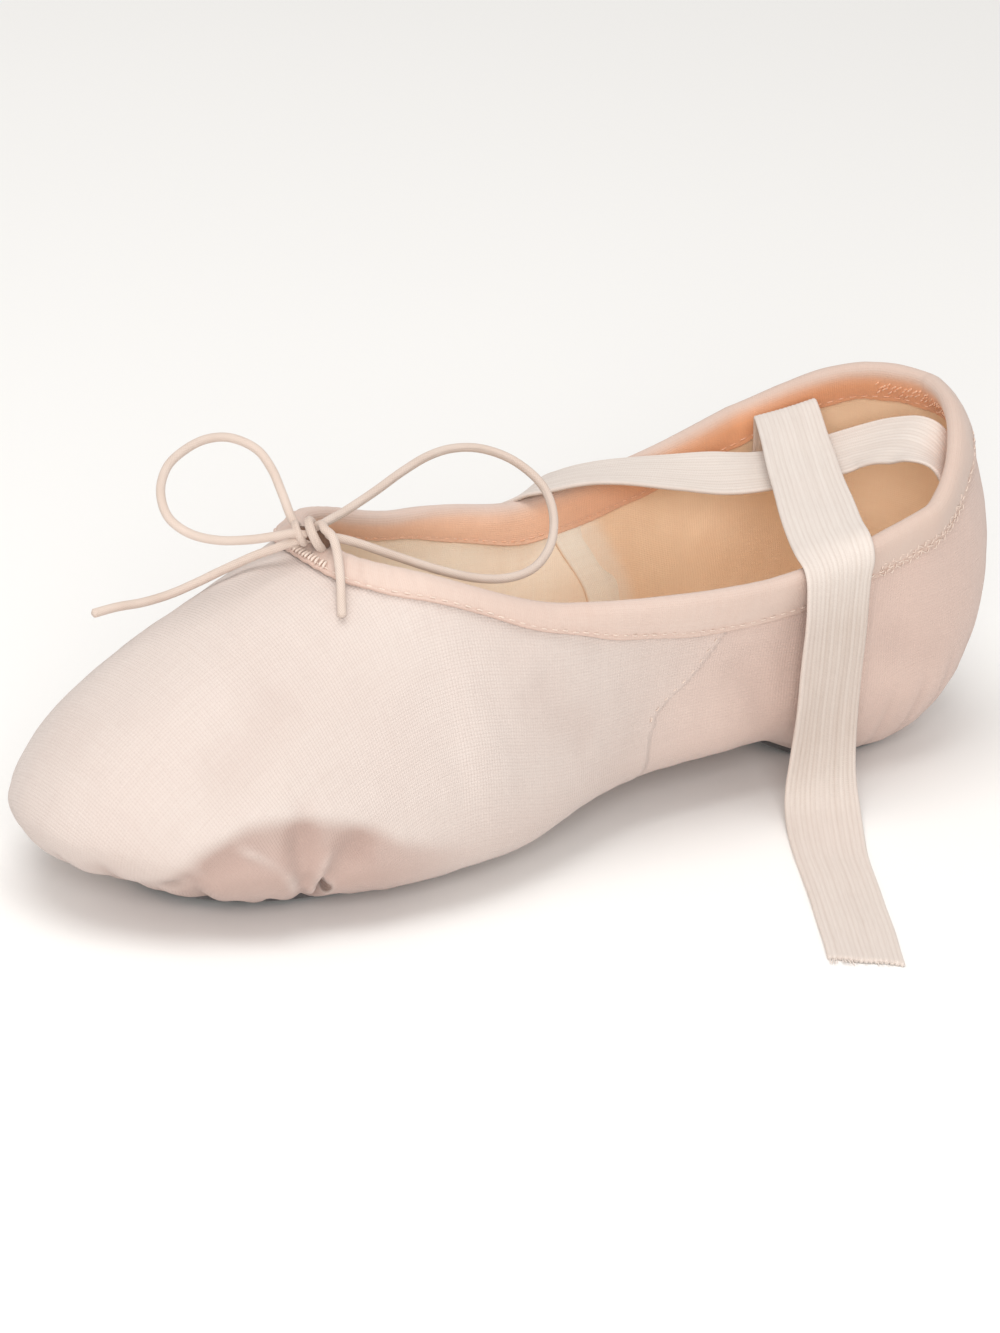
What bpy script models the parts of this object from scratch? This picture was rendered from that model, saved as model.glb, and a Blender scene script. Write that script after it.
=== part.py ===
"""Split-sole ballet slipper: a canvas upper on its last, a tape binding around the collar, two suede
sole pads, two insoles, two loose elastic straps, and a thin drawstring tied in a bow at the throat.

Lengths are millimetres, and make_mesh turns them into Blender's metres. On the last, Y runs from the
back of the heel to the toe, X to the shoe's right and Z up from the floor. ORIGIN_FROM_HEEL then
puts the object's origin on the floor under the middle of the heel pad.
"""

import math

import bmesh
import bpy
import numpy as np

MM = 0.001

# Driving sizes of the last
LENGTH = 230.0
HEEL_ARC = 36.0
TOE_ARC = 74.0
HEEL_ROUNDNESS = 2.1
TOE_ROUNDNESS = 2.1
FLAT_SHARE = 0.4
ORIGIN_FROM_HEEL = 31.0

# Thicknesses, and the gaps that touching pieces keep
CANVAS = 1.3
TAPE = 0.8
SUEDE = 1.5
INSOLE = 1.0
ELASTIC = 1.0
GAP = 0.3
TAPE_GAP = 0.45
INSOLE_GAP = 0.9

# Collar line: the middle of the drawstring channel
COLLAR_HALF_WIDTH = 32.9
COLLAR_BACK = 9.5
COLLAR_THROAT = 164.5
COLLAR_BACK_ROUNDNESS = 1.5
COLLAR_THROAT_ROUNDNESS = 2.95
CANVAS_BELOW_COLLAR = 2.4
BINDING_DEPTH = 7.0

CORD_DIAMETER = 1.8

# Half width of the last: distance from the heel, half width
WIDTHS = (
    (HEEL_ARC, 32.0),  # heel
    (95.0, 28.0),  # waist
    (LENGTH - TOE_ARC, 40.0),  # ball
)

# Cross-sections of the last, each where it meets the widest line.
SECTION_COLUMNS = ("y", "underside", "widest", "under_round", "lean", "wall_round")
SECTIONS = (
    (0.0, 1.8, 38.0, 2.0, 46.0, 2.0),  # back of the heel
    (36.0, 1.8, 29.0, 2.4, 45.5, 2.0),  # heel
    (46.0, 1.8, 27.0, 2.4, 45.5, 2.0),  # front of the heel pad
    (68.0, 8.8, 23.0, 2.4, 47.0, 2.0),  # arch
    (95.0, 8.0, 19.0, 2.3, 52.0, 1.72),  # waist
    (118.0, 6.2, 16.0, 2.15, 57.5, 1.5),  # back of the tread
    (140.0, 1.8, 14.0, 2.05, 64.5, 1.45),  # ball
    (160.0, 1.8, 13.0, 2.0, 68.5, 1.45),  # toe joints
    (200.0, 1.8, 15.0, 1.9, 68.0, 1.5),  # toes
    (230.0, 3.0, 19.5, 1.9, 65.0, 1.55),  # tip
)

# Height of the collar line: distance from the heel, height
COLLAR_HEIGHTS = (
    (COLLAR_BACK, 72.8),
    (35.0, 58.8),
    (80.0, 50.0),
    (125.0, 53.2),
    (COLLAR_THROAT, 63.8),
)
# The right side of the rim sags: depth, its middle's distance from the heel, half length, and
# the x and the height from which it is full
RIM_DIP, RIM_DIP_Y, RIM_DIP_LENGTH = 2.7, 94.0, 15.0
RIM_DIP_X, RIM_DIP_LOW, RIM_DIP_HIGH = 20.0, 20.0, 48.0

# What lies on the sole: back end, front end, half width, roundness
HEEL_PAD = (16.5, 54.5, 16.5, 2.2)
FOREFOOT_PAD = (137.0, 204.0, 21.5, 2.2)
HEEL_OPENING = (22.0, 48.5, 11.5, 2.2)
FOREFOOT_OPENING = (144.0, 198.0, 16.5, 2.2)
HEEL_INSOLE = (17.0, 94.0, 17.0, 2.6)
FOREFOOT_INSOLE = (104.0, 207.0, 25.0, 2.5)

# Folded tape of the binding, in order around its fold: distance down from the collar line, and
# distance out from the canvas's outer face
TAPE_OUTSIDE = TAPE_GAP + TAPE / 2
TAPE_INSIDE = -(CANVAS + TAPE_GAP + TAPE / 2)
BINDING_PROFILE = (
    (BINDING_DEPTH, TAPE_OUTSIDE),
    (2.0, TAPE_OUTSIDE + 0.15),
    (-0.5, TAPE_OUTSIDE - 0.2),
    (-1.2, (TAPE_OUTSIDE + TAPE_INSIDE) / 2),
    (-0.5, TAPE_INSIDE + 0.2),
    (2.0, TAPE_INSIDE - 0.15),
    (BINDING_DEPTH, TAPE_INSIDE),
)

# Straps: the middle of the strap, the direction across it, and its width there, which is less
# where it is sewn down and pulled
# From the right inner wall of the heel, over the left rim and out along the floor
STRAP_FAR_ROUTE = (
    (25.2, 25.8, 43.0, 0.50, 0.84, -0.20, 13.6),
    (24.2, 26.6, 52.0, 0.50, 0.84, -0.28, 13.6),
    (23.2, 28.0, 59.0, 0.48, 0.84, -0.32, 13.6),
    (21.2, 30.0, 62.2, 0.46, 0.84, -0.32, 13.6),
    (16.4, 32.8, 61.9, 0.46, 0.86, -0.22, 13.8),
    (7.6, 38.0, 60.4, 0.48, 0.87, -0.12, 14.4),
    (-2.0, 43.8, 58.9, 0.49, 0.87, -0.10, 15.0),
    (-13.0, 50.3, 57.6, 0.48, 0.88, -0.12, 15.6),
    (-24.0, 56.8, 56.6, 0.40, 0.90, -0.18, 16.0),
    (-31.6, 60.8, 55.9, 0.20, 0.95, -0.22, 16.2),
    (-35.6, 62.0, 52.8, 0.06, 0.99, -0.14, 16.4),
    (-36.4, 62.2, 46.0, 0.0, 1.0, -0.04, 16.4),
    (-36.5, 62.2, 36.0, 0.0, 1.0, 0.0, 16.4),
    (-36.3, 62.2, 26.0, 0.0, 1.0, 0.0, 16.4),
    (-36.2, 62.2, 16.0, 0.04, 1.0, 0.0, 16.4),
    (-37.2, 62.9, 8.0, 0.16, 0.98, 0.0, 16.2),
    (-40.6, 65.0, 3.0, 0.34, 0.93, 0.0, 16.0),
    (-46.5, 69.0, 1.0, 0.46, 0.88, 0.0, 15.6),
    (-55.5, 75.2, 0.6, 0.53, 0.85, 0.0, 15.2),
    (-65.0, 81.0, 0.6, 0.54, 0.84, 0.0, 14.8),
    (-75.0, 87.2, 0.6, 0.57, 0.82, 0.0, 14.8),
    (-85.6, 93.8, 0.6, 0.62, 0.78, 0.0, 14.8),
    (-96.4, 100.8, 0.6, 0.66, 0.75, 0.0, 14.8),
)
# From the left inner wall of the heel, under the other strap, over the right rim
STRAP_NEAR_ROUTE = (
    (-19.4, 17.4, 44.0, 0.68, -0.73, 0.00, 13.6),
    (-19.0, 17.8, 51.0, 0.68, -0.73, 0.00, 13.6),
    (-18.2, 18.4, 57.2, 0.68, -0.73, 0.05, 13.4),
    (-16.4, 19.2, 61.4, 0.66, -0.74, 0.14, 13.4),
    (-12.8, 20.2, 63.4, 0.56, -0.78, 0.28, 13.8),
    (-7.6, 20.8, 63.4, 0.42, -0.78, 0.46, 14.2),
    (-2.0, 22.0, 61.6, 0.44, -0.78, 0.42, 14.6),
    (3.0, 24.6, 59.0, 0.76, -0.58, 0.24, 15.0),
    (5.8, 29.6, 57.0, 0.92, -0.34, 0.15, 15.2),
    (7.6, 37.0, 55.6, 0.96, -0.26, 0.08, 15.4),
    (10.0, 45.0, 54.8, 0.90, -0.42, 0.14, 15.6),
    (14.0, 53.0, 54.4, 0.80, -0.58, 0.22, 15.8),
    (18.8, 60.6, 54.2, 0.72, -0.68, 0.14, 15.8),
    (23.6, 68.0, 54.0, 0.66, -0.75, 0.04, 15.8),
    (28.4, 75.8, 53.1, 0.52, -0.85, 0.0, 15.8),
    (32.8, 83.0, 53.5, 0.30, -0.95, 0.0, 15.8),
    (36.6, 87.2, 50.2, 0.10, -1.0, 0.0, 15.8),
    (37.2, 88.4, 42.0, 0.0, -1.0, 0.0, 15.8),
    (36.6, 88.8, 32.0, 0.0, -1.0, 0.0, 15.8),
    (36.6, 89.2, 20.0, 0.0, -1.0, 0.0, 15.8),
    (37.4, 89.8, 9.0, 0.10, -0.99, 0.0, 15.8),
    (40.6, 91.4, 3.0, 0.28, -0.95, 0.0, 15.6),
    (46.6, 93.8, 1.0, 0.36, -0.93, 0.0, 15.4),
    (56.0, 97.2, 0.6, 0.38, -0.92, 0.0, 15.0),
    (66.0, 100.8, 0.6, 0.36, -0.93, 0.0, 14.8),
    (77.0, 104.6, 0.6, 0.32, -0.95, 0.0, 14.8),
)

# Drawstring: the knot's middle and radii, and each cord's route from the knot
KNOT_MIDDLE = (-0.5, 168.4, 67.4)
KNOT_RADII = (3.6, 3.3, 2.9)
LOOP_LEFT_ROUTE = (
    (2.9, 169.7, 69.0),
    (8.0, 169.0, 72.8),
    (12.5, 168.6, 76.4),
    (16.8, 169.4, 79.2),
    (19.8, 173.4, 81.2),
    (20.6, 178.6, 81.6),
    (19.6, 184.4, 80.7),
    (17.2, 190.0, 79.0),
    (13.0, 194.2, 76.2),
    (8.4, 195.4, 72.8),
    (4.8, 192.8, 70.2),
    (2.6, 187.6, 68.6),
    (1.4, 181.0, 67.9),
    (0.4, 175.4, 68.0),
    (-0.1, 172.1, 68.1),
)
LOOP_RIGHT_ROUTE = (
    (0.7, 165.0, 67.9),
    (3.2, 157.2, 68.8),
    (6.2, 148.0, 70.2),
    (9.0, 139.6, 71.8),
    (11.2, 131.6, 73.0),
    (12.0, 124.6, 73.2),
    (10.8, 118.2, 72.4),
    (7.0, 113.2, 70.4),
    (1.2, 110.6, 67.0),
    (-5.0, 112.0, 63.4),
    (-11.4, 117.0, 60.0),
    (-15.8, 124.0, 57.8),
    (-17.0, 131.0, 57.2),
    (-16.0, 138.2, 58.0),
    (-13.0, 146.0, 60.2),
    (-8.4, 153.6, 63.0),
    (-4.6, 160.2, 65.6),
    (-2.9, 164.8, 66.9),
)
END_LEFT_ROUTE = (
    (0.6, 171.6, 65.9),
    (2.8, 174.2, 64.2),
    (5.6, 176.4, 62.3),
    (8.6, 178.6, 59.9),
    (11.4, 181.0, 57.5),
    (13.8, 184.2, 55.1),
    (15.6, 189.0, 53.0),
    (16.6, 194.6, 52.0),
    (17.0, 200.4, 52.0),
    (17.2, 206.0, 51.6),
)
END_DOWN_ROUTE = (
    (-4.6, 167.6, 69.6),
    (-6.6, 167.4, 69.0),
    (-8.8, 167.8, 67.2),
    (-11.0, 168.6, 64.8),
    (-13.2, 169.6, 62.0),
    (-15.2, 170.7, 59.3),
    (-17.2, 171.8, 56.8),
)

# Facets
HEEL_COLUMNS = 8
SIDE_COLUMNS = 15
TOE_COLUMNS = 12
WALL_ROWS = 6
UNDER_ROWS = 6
SOLE_RINGS = 4
SOLE_SPOKES = 28
STRAP_STEP = 5.5
CORD_STEP = 6.0

COLOURS = {
    "pink_canvas": ((0.84, 0.64, 0.55), 0.90),
    "pink_tape": ((0.80, 0.58, 0.48), 0.85),
    "grey_suede": ((0.10, 0.10, 0.11), 0.95),
    "cream_lining": ((0.86, 0.74, 0.55), 0.85),
    "peach_sock": ((0.78, 0.46, 0.28), 0.80),
    "pale_elastic": ((0.82, 0.74, 0.68), 0.80),
    "pale_cord": ((0.78, 0.68, 0.58), 0.75),
}


def clear_scene():
    for old in list(bpy.data.objects):
        bpy.data.objects.remove(old, do_unlink=True)


def make_collection(name):
    group = bpy.data.collections.new(name)
    bpy.context.scene.collection.children.link(group)
    return group


def make_material(name):
    colour, roughness = COLOURS[name]
    material = bpy.data.materials.new(name)
    material.use_nodes = True
    shader = material.node_tree.nodes["Principled BSDF"]
    shader.inputs["Base Color"].default_value = (*colour, 1.0)
    shader.inputs["Roughness"].default_value = roughness
    shader.inputs["Metallic"].default_value = 0.0
    return material


def make_mesh(name, points, faces, material, group):
    """An object from points in millimetres on the last, moved so that the origin is the object's."""
    placed = (np.asarray(points, float) - (0.0, ORIGIN_FROM_HEEL, 0.0)) * MM
    mesh = bpy.data.meshes.new(name)
    mesh.from_pydata([tuple(point) for point in placed], [], faces)
    mesh.materials.append(material)
    mesh.shade_smooth()
    made = bpy.data.objects.new(name, mesh)
    group.objects.link(made)
    return made


def thicken(made, thickness, offset):
    """Turns an open sheet into a solid: offset -1 is behind its faces, 1 in front, 0 both sides."""
    solidify = made.modifiers.new("thickness", "SOLIDIFY")
    solidify.thickness = thickness * MM
    solidify.offset = offset
    solidify.use_even_offset = True
    solidify.use_rim = True


def grid_faces(columns, rows, ring=False):
    """Quads over points listed column by column. A ring joins its last column to its first."""
    faces = []
    for column in range(columns if ring else columns - 1):
        following = (column + 1) % columns
        for row in range(rows - 1):
            faces.append((
                column * rows + row,
                following * rows + row,
                following * rows + row + 1,
                column * rows + row + 1,
            ))
    return faces


def glide(table, at, value=1):
    """Reads a column of a table at the given places, on a smooth curve that never overshoots."""
    table = np.asarray(table, float)
    places, values = table[:, 0], table[:, value]
    step = np.diff(places)
    rise = np.diff(values) / step
    slope = np.zeros(len(places))
    for i in range(1, len(places) - 1):
        if rise[i - 1] * rise[i] > 0:
            before = 2 * step[i] + step[i - 1]
            after = step[i] + 2 * step[i - 1]
            slope[i] = (before + after) / (before / rise[i - 1] + after / rise[i])
    at = np.clip(at, places[0], places[-1])
    i = np.clip(np.searchsorted(places, at) - 1, 0, len(step) - 1)
    t = (at - places[i]) / step[i]
    start = (1 + 2 * t) * (1 - t) ** 2 * values[i] + t * (1 - t) ** 2 * step[i] * slope[i]
    end = t * t * (3 - 2 * t) * values[i + 1] - t * t * (1 - t) * step[i] * slope[i + 1]
    return start + end


def section_value(name, at):
    return glide(SECTIONS, at, SECTION_COLUMNS.index(name))


def reach(inside, centre_y, across, along):
    """How far each ray from (0, centre_y) stays inside an outline: a search by halves."""
    near, far = np.zeros(len(across)), np.full(len(across), LENGTH)
    for _ in range(40):
        middle = (near + far) / 2
        within = inside(middle * across, centre_y + middle * along)
        near = np.where(within, middle, near)
        far = np.where(within, far, middle)
    return near


def in_last(x, y):
    heel = np.clip((HEEL_ARC - y) / HEEL_ARC, 0.0, None) ** HEEL_ROUNDNESS
    toe = np.clip((y - LENGTH + TOE_ARC) / TOE_ARC, 0.0, None) ** TOE_ROUNDNESS
    roundness = np.where(y < HEEL_ARC, HEEL_ROUNDNESS, TOE_ROUNDNESS)
    return (np.abs(x) / glide(WIDTHS, y)) ** roundness + heel + toe < 1


def in_collar(x, y):
    back = y < HEEL_ARC
    half_length = np.where(back, HEEL_ARC - COLLAR_BACK, COLLAR_THROAT - HEEL_ARC)
    roundness = np.where(back, COLLAR_BACK_ROUNDNESS, COLLAR_THROAT_ROUNDNESS)
    across = (np.abs(x) / COLLAR_HALF_WIDTH) ** roundness
    return across + (np.abs(y - HEEL_ARC) / half_length) ** roundness < 1


def in_oval(oval):
    back, front, half_width, roundness = oval
    middle, half_length = (back + front) / 2, (front - back) / 2

    def inside(x, y):
        return (np.abs(x) / half_width) ** roundness + (np.abs(y - middle) / half_length) ** roundness < 1

    return inside


class Columns:
    """Sections of the last's right half, fanned round the heel, square to the side, fanned round
    the toe. Each runs from the sole's middle line, or from an opening's edge, up to the collar."""

    def __init__(self, angle, centre_y):
        self.centre_y = centre_y
        self.across, self.along = np.sin(angle), -np.cos(angle)
        rays = (centre_y, self.across, self.along)
        self.widest = reach(in_last, *rays)
        self.collar = reach(in_collar, *rays)
        self.opening = np.maximum(
            reach(in_oval(HEEL_OPENING), *rays), reach(in_oval(FOREFOOT_OPENING), *rays)
        )
        edge_y = centre_y + self.widest * self.along
        self.widest_z = section_value("widest", edge_y)
        self.under_round = section_value("under_round", edge_y)
        self.lean = np.radians(section_value("lean", edge_y))
        self.power = 2 / section_value("wall_round", edge_y)
        self.collar_z = glide(COLLAR_HEIGHTS, centre_y + self.collar * self.along)

    def at_radius(self, radius, z):
        y = self.centre_y + radius * self.along
        return np.stack([radius * self.across, y, z], -1)

    def wall(self, level):
        """A point of the wall: level 0 is on the widest line and 1 on the collar line."""
        turn = level * self.lean
        inward = (1 - np.cos(turn) ** self.power) / (1 - np.cos(self.lean) ** self.power)
        rise = (np.sin(turn) / np.sin(self.lean)) ** self.power
        radius = self.widest - (self.widest - self.collar) * inward
        return self.at_radius(radius, self.widest_z + (self.collar_z - self.widest_z) * rise)

    def under(self, radius):
        """A point of the underside, which is flat in the middle and rolls up to the widest line."""
        y = self.centre_y + radius * self.along
        low = section_value("underside", y)
        out = np.clip((radius / self.widest - FLAT_SHARE) / (1 - FLAT_SHARE), 0.0, 1.0)
        drop = (1 - out**self.under_round) ** (1 / self.under_round)
        return self.at_radius(radius, self.widest_z - (self.widest_z - low) * drop)

    def level_below_collar(self, distance):
        """The wall level that lies this far down the wall from the collar line, in each column."""
        levels = np.linspace(1.0, 0.0, 120)
        line = np.stack([self.wall(level) for level in levels], 1)
        run = np.cumsum(np.linalg.norm(np.diff(line, axis=1), axis=2), axis=1)
        return np.array([np.interp(distance, [0.0, *lengths], levels) for lengths in run])

    def below_collar(self, distance):
        """The point this far down the wall from the collar line, or straight on above it."""
        if distance >= 0:
            return self.wall(self.level_below_collar(distance))
        top = self.wall(1.0)
        upward = top - self.wall(self.level_below_collar(0.5))
        return top - distance * upward / np.linalg.norm(upward, axis=1)[:, None]


def last_columns():
    heel = np.linspace(0, math.pi / 2, HEEL_COLUMNS, endpoint=False)
    toe = np.linspace(math.pi / 2, math.pi, TOE_COLUMNS + 1)
    side = np.full(SIDE_COLUMNS, math.pi / 2)
    side_y = np.linspace(HEEL_ARC, LENGTH - TOE_ARC, SIDE_COLUMNS, endpoint=False)
    heel_y = np.full(HEEL_COLUMNS, HEEL_ARC)
    toe_y = np.full(TOE_COLUMNS + 1, LENGTH - TOE_ARC)
    return Columns(np.concatenate([heel, side, toe]), np.concatenate([heel_y, side_y, toe_y]))


def around(half):
    """Closes the right half's points into a ring with the left half's."""
    return np.concatenate([half, half[-2:0:-1] * (-1.0, 1.0, 1.0)])


def make_upper(group):
    """Half of the canvas as an open sheet, mirrored and thickened inwards."""
    columns = last_columns()
    rows = []
    for step in np.linspace(0.0, 1.0, UNDER_ROWS, endpoint=False):
        reach_out = math.sin(step * math.pi / 2)
        rows.append(columns.under(columns.opening + (columns.widest - columns.opening) * reach_out))
    under_tape = columns.level_below_collar(BINDING_DEPTH)
    rows += [columns.wall(under_tape * step) for step in np.linspace(0.0, 1.0, WALL_ROWS)]
    rows.append(columns.below_collar(CANVAS_BELOW_COLLAR))
    points = np.stack(rows, 1)
    faces = grid_faces(len(points), len(rows))
    upper = make_mesh("upper", points.reshape(-1, 3), faces, make_material("pink_canvas"), group)
    mirror = upper.modifiers.new("left half", "MIRROR")
    mirror.use_axis = (True, False, False)
    mirror.use_clip = True
    mirror.merge_threshold = 0.00001
    thicken(upper, CANVAS, -1)


def make_binding(group):
    """A folded tape over the collar edge, with room for the drawstring along its fold."""
    columns = last_columns()
    rings = []
    for down, out in BINDING_PROFILE:
        line = around(columns.below_collar(down))
        along = np.roll(line, -1, axis=0) - np.roll(line, 1, axis=0)
        upward = around(columns.below_collar(down - 0.5) - columns.below_collar(down + 0.5))
        outward = np.cross(along, upward)
        outward /= np.linalg.norm(outward, axis=1)[:, None]
        rings.append(line + out * outward)
    points = np.stack(rings, 1)
    faces = grid_faces(len(points), len(rings), ring=True)
    binding = make_mesh("binding", points.reshape(-1, 3), faces, make_material("pink_tape"), group)
    thicken(binding, TAPE, 0)


def sole_height(x, y):
    """Height of the canvas's underside over a point of the floor."""
    centre_y = np.clip(y, HEEL_ARC, LENGTH - TOE_ARC)
    radius = np.hypot(x, y - centre_y)
    angle = np.where(radius > 0, np.arctan2(np.abs(x), centre_y - y), math.pi / 2)
    return Columns(angle, centre_y).under(radius)[:, 2]


def make_sole_sheet(name, oval, lift, thickness, side, material, group):
    """An oval piece that follows the underside, lifted square to it, then thickened up or down."""
    back, front, half_width, roundness = oval
    points = [(0.0, (back + front) / 2)]
    for ring in range(1, SOLE_RINGS + 1):
        share = ring / SOLE_RINGS
        for spoke in range(SOLE_SPOKES):
            angle = 2 * math.pi * spoke / SOLE_SPOKES
            c, s = math.cos(angle), math.sin(angle)
            size = share * (abs(c) ** roundness + abs(s) ** roundness) ** (-1 / roundness)
            points.append((half_width * size * c, points[0][1] + (front - back) / 2 * size * s))
    x, y = np.array(points).T
    height = sole_height(x, y)
    slope_x = (sole_height(x + 0.1, y) - sole_height(x - 0.1, y)) / 0.2
    slope_y = (sole_height(x, y + 0.1) - sole_height(x, y - 0.1)) / 0.2
    up = np.stack([-slope_x, -slope_y, np.ones(len(x))], -1)
    up /= np.linalg.norm(up, axis=1)[:, None]
    placed = np.stack([x, y, height], -1) + lift * up
    faces = [(0, 1 + spoke, 1 + (spoke + 1) % SOLE_SPOKES) for spoke in range(SOLE_SPOKES)]
    for ring in range(SOLE_RINGS - 1):
        inner, outer = 1 + ring * SOLE_SPOKES, 1 + (ring + 1) * SOLE_SPOKES
        for spoke in range(SOLE_SPOKES):
            following = (spoke + 1) % SOLE_SPOKES
            faces.append((inner + spoke, outer + spoke, outer + following, inner + following))
    sheet = make_mesh(name, placed, faces, make_material(material), group)
    thicken(sheet, thickness, side)


def along_route(route, step):
    """Points on a smooth curve through a route's points (Catmull-Rom), about one step apart."""
    route = np.asarray(route, float)
    ends = np.concatenate([[2 * route[0] - route[1]], route, [2 * route[-1] - route[-2]]])
    t = np.linspace(0, 1, 20, endpoint=False)[:, None]
    curve = []
    for a, b, c, d in zip(ends, ends[1:], ends[2:], ends[3:]):
        bend = (2 * a - 5 * b + 4 * c - d) * t**2 + (3 * b - a - 3 * c + d) * t**3
        curve.append(b + 0.5 * ((c - a) * t + bend))
    curve = np.concatenate([*curve, route[-1:]])
    run = np.concatenate([[0], np.cumsum(np.linalg.norm(np.diff(curve[:, :3], axis=0), axis=1))])
    at = np.linspace(0, run[-1], max(2, round(run[-1] / step)) + 1)
    return np.stack([np.interp(at, run, curve[:, axis]) for axis in range(curve.shape[1])], -1)


def make_strap(name, route, group):
    """A flat elastic strip: its edges run beside its middle, and it is thickened both ways."""
    middle = along_route(route, STRAP_STEP)
    ahead = np.gradient(middle[:, :3], axis=0)
    ahead /= np.linalg.norm(ahead, axis=1)[:, None]
    across = middle[:, 3:6] - np.sum(middle[:, 3:6] * ahead, axis=1)[:, None] * ahead
    across *= (middle[:, 6] / 2 / np.linalg.norm(across, axis=1))[:, None]
    points = np.stack([middle[:, :3] - across, middle[:, :3], middle[:, :3] + across], 1)
    faces = grid_faces(len(points), 3)
    strap = make_mesh(name, points.reshape(-1, 3), faces, make_material("pale_elastic"), group)
    thicken(strap, ELASTIC, 0)


def make_cord(name, route, group):
    """A round elastic cord, as a bevelled curve along its route."""
    curve = bpy.data.curves.new(name, "CURVE")
    curve.dimensions = "3D"
    curve.bevel_depth = CORD_DIAMETER / 2 * MM
    curve.bevel_resolution = 2
    curve.use_fill_caps = True
    curve.materials.append(make_material("pale_cord"))
    placed = (along_route(route, CORD_STEP) - (0.0, ORIGIN_FROM_HEEL, 0.0)) * MM
    line = curve.splines.new("POLY")
    line.points.add(len(placed) - 1)
    line.points.foreach_set("co", np.column_stack([placed, np.ones(len(placed))]).ravel())
    line.use_smooth = True
    group.objects.link(bpy.data.objects.new(name, curve))


def make_knot(group):
    """The bow's knot, as a rounded lump with the cord's turns as two shallow waists."""
    ball = bmesh.new()
    bmesh.ops.create_uvsphere(ball, u_segments=14, v_segments=8, radius=1.0)
    for corner in ball.verts:
        turns = 1 + 0.06 * math.cos(4 * math.atan2(corner.co.y, corner.co.x))
        corner.co.x *= KNOT_RADII[0] * MM * turns
        corner.co.y *= KNOT_RADII[1] * MM * turns
        corner.co.z *= KNOT_RADII[2] * MM
    mesh = bpy.data.meshes.new("lace_knot")
    ball.to_mesh(mesh)
    ball.free()
    mesh.materials.append(make_material("pale_cord"))
    mesh.shade_smooth()
    knot = bpy.data.objects.new("lace_knot", mesh)
    x, y, z = KNOT_MIDDLE
    knot.location = (x * MM, (y - ORIGIN_FROM_HEEL) * MM, z * MM)
    group.objects.link(knot)


def settle_rim(group):
    """Lowers the rim on the right of the instep, and the strap over it, once all is mirrored."""
    graph = bpy.context.evaluated_depsgraph_get()
    for made in group.objects:
        if made.type != "MESH":
            continue
        mesh = bpy.data.meshes.new_from_object(made.evaluated_get(graph))
        made.modifiers.clear()
        made.data = mesh
        points = np.empty(3 * len(mesh.vertices))
        mesh.vertices.foreach_get("co", points)
        x, y, z = points.reshape(-1, 3).T / MM
        from_middle = (y + ORIGIN_FROM_HEEL - RIM_DIP_Y) / RIM_DIP_LENGTH
        share = np.clip(x / RIM_DIP_X, 0.0, 1.0)
        share *= np.clip((z - RIM_DIP_LOW) / (RIM_DIP_HIGH - RIM_DIP_LOW), 0.0, 1.0)
        points[2::3] -= RIM_DIP * np.exp(-(from_middle**2)) * share * MM
        mesh.vertices.foreach_set("co", points)


def make_slipper():
    clear_scene()
    group = make_collection("ballet_slipper")
    make_upper(group)
    make_binding(group)
    pad_lift, insole_lift = -GAP, CANVAS + INSOLE_GAP
    make_sole_sheet("sole_heel", HEEL_PAD, pad_lift, SUEDE, -1, "grey_suede", group)
    make_sole_sheet("sole_forefoot", FOREFOOT_PAD, pad_lift, SUEDE, -1, "grey_suede", group)
    make_sole_sheet("insole_heel", HEEL_INSOLE, insole_lift, INSOLE, 1, "peach_sock", group)
    make_sole_sheet("insole_forefoot", FOREFOOT_INSOLE, insole_lift, INSOLE, 1, "cream_lining", group)
    make_strap("strap_far", STRAP_FAR_ROUTE, group)
    make_strap("strap_near", STRAP_NEAR_ROUTE, group)
    make_knot(group)
    make_cord("lace_loop_left", LOOP_LEFT_ROUTE, group)
    make_cord("lace_loop_right", LOOP_RIGHT_ROUTE, group)
    make_cord("lace_end_left", END_LEFT_ROUTE, group)
    make_cord("lace_end_down", END_DOWN_ROUTE, group)
    settle_rim(group)


make_slipper()
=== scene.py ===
"""Looks of the split-sole ballet slipper: canvas upper with its lining, taped collar, suede pads,
insoles, elastic straps and the drawstring bow, each made over its plain solid.

Shapes are worked out in millimetres on the last, where Y runs from the back of the heel to the toe,
X to the shoe's right and Z up from the floor. place() turns them into the object's metres.
"""

import math
import random

import bpy
import numpy as np
from mathutils import Matrix, Vector


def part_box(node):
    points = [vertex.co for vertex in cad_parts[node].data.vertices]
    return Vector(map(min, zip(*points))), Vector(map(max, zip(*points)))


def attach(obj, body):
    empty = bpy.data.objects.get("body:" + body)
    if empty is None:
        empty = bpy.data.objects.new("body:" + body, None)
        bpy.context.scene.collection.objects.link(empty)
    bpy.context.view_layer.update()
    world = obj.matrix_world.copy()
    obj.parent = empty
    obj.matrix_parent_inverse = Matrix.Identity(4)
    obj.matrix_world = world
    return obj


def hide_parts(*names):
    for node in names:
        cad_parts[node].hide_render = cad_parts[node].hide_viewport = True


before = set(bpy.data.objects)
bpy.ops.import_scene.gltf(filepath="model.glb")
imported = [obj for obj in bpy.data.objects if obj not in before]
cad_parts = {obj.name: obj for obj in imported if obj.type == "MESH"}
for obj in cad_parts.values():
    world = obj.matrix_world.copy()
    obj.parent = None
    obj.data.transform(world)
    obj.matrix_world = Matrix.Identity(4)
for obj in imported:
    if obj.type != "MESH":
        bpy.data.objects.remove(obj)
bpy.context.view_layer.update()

MM = 0.001
HEEL_BACK_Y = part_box("upper")[0].y

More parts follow.
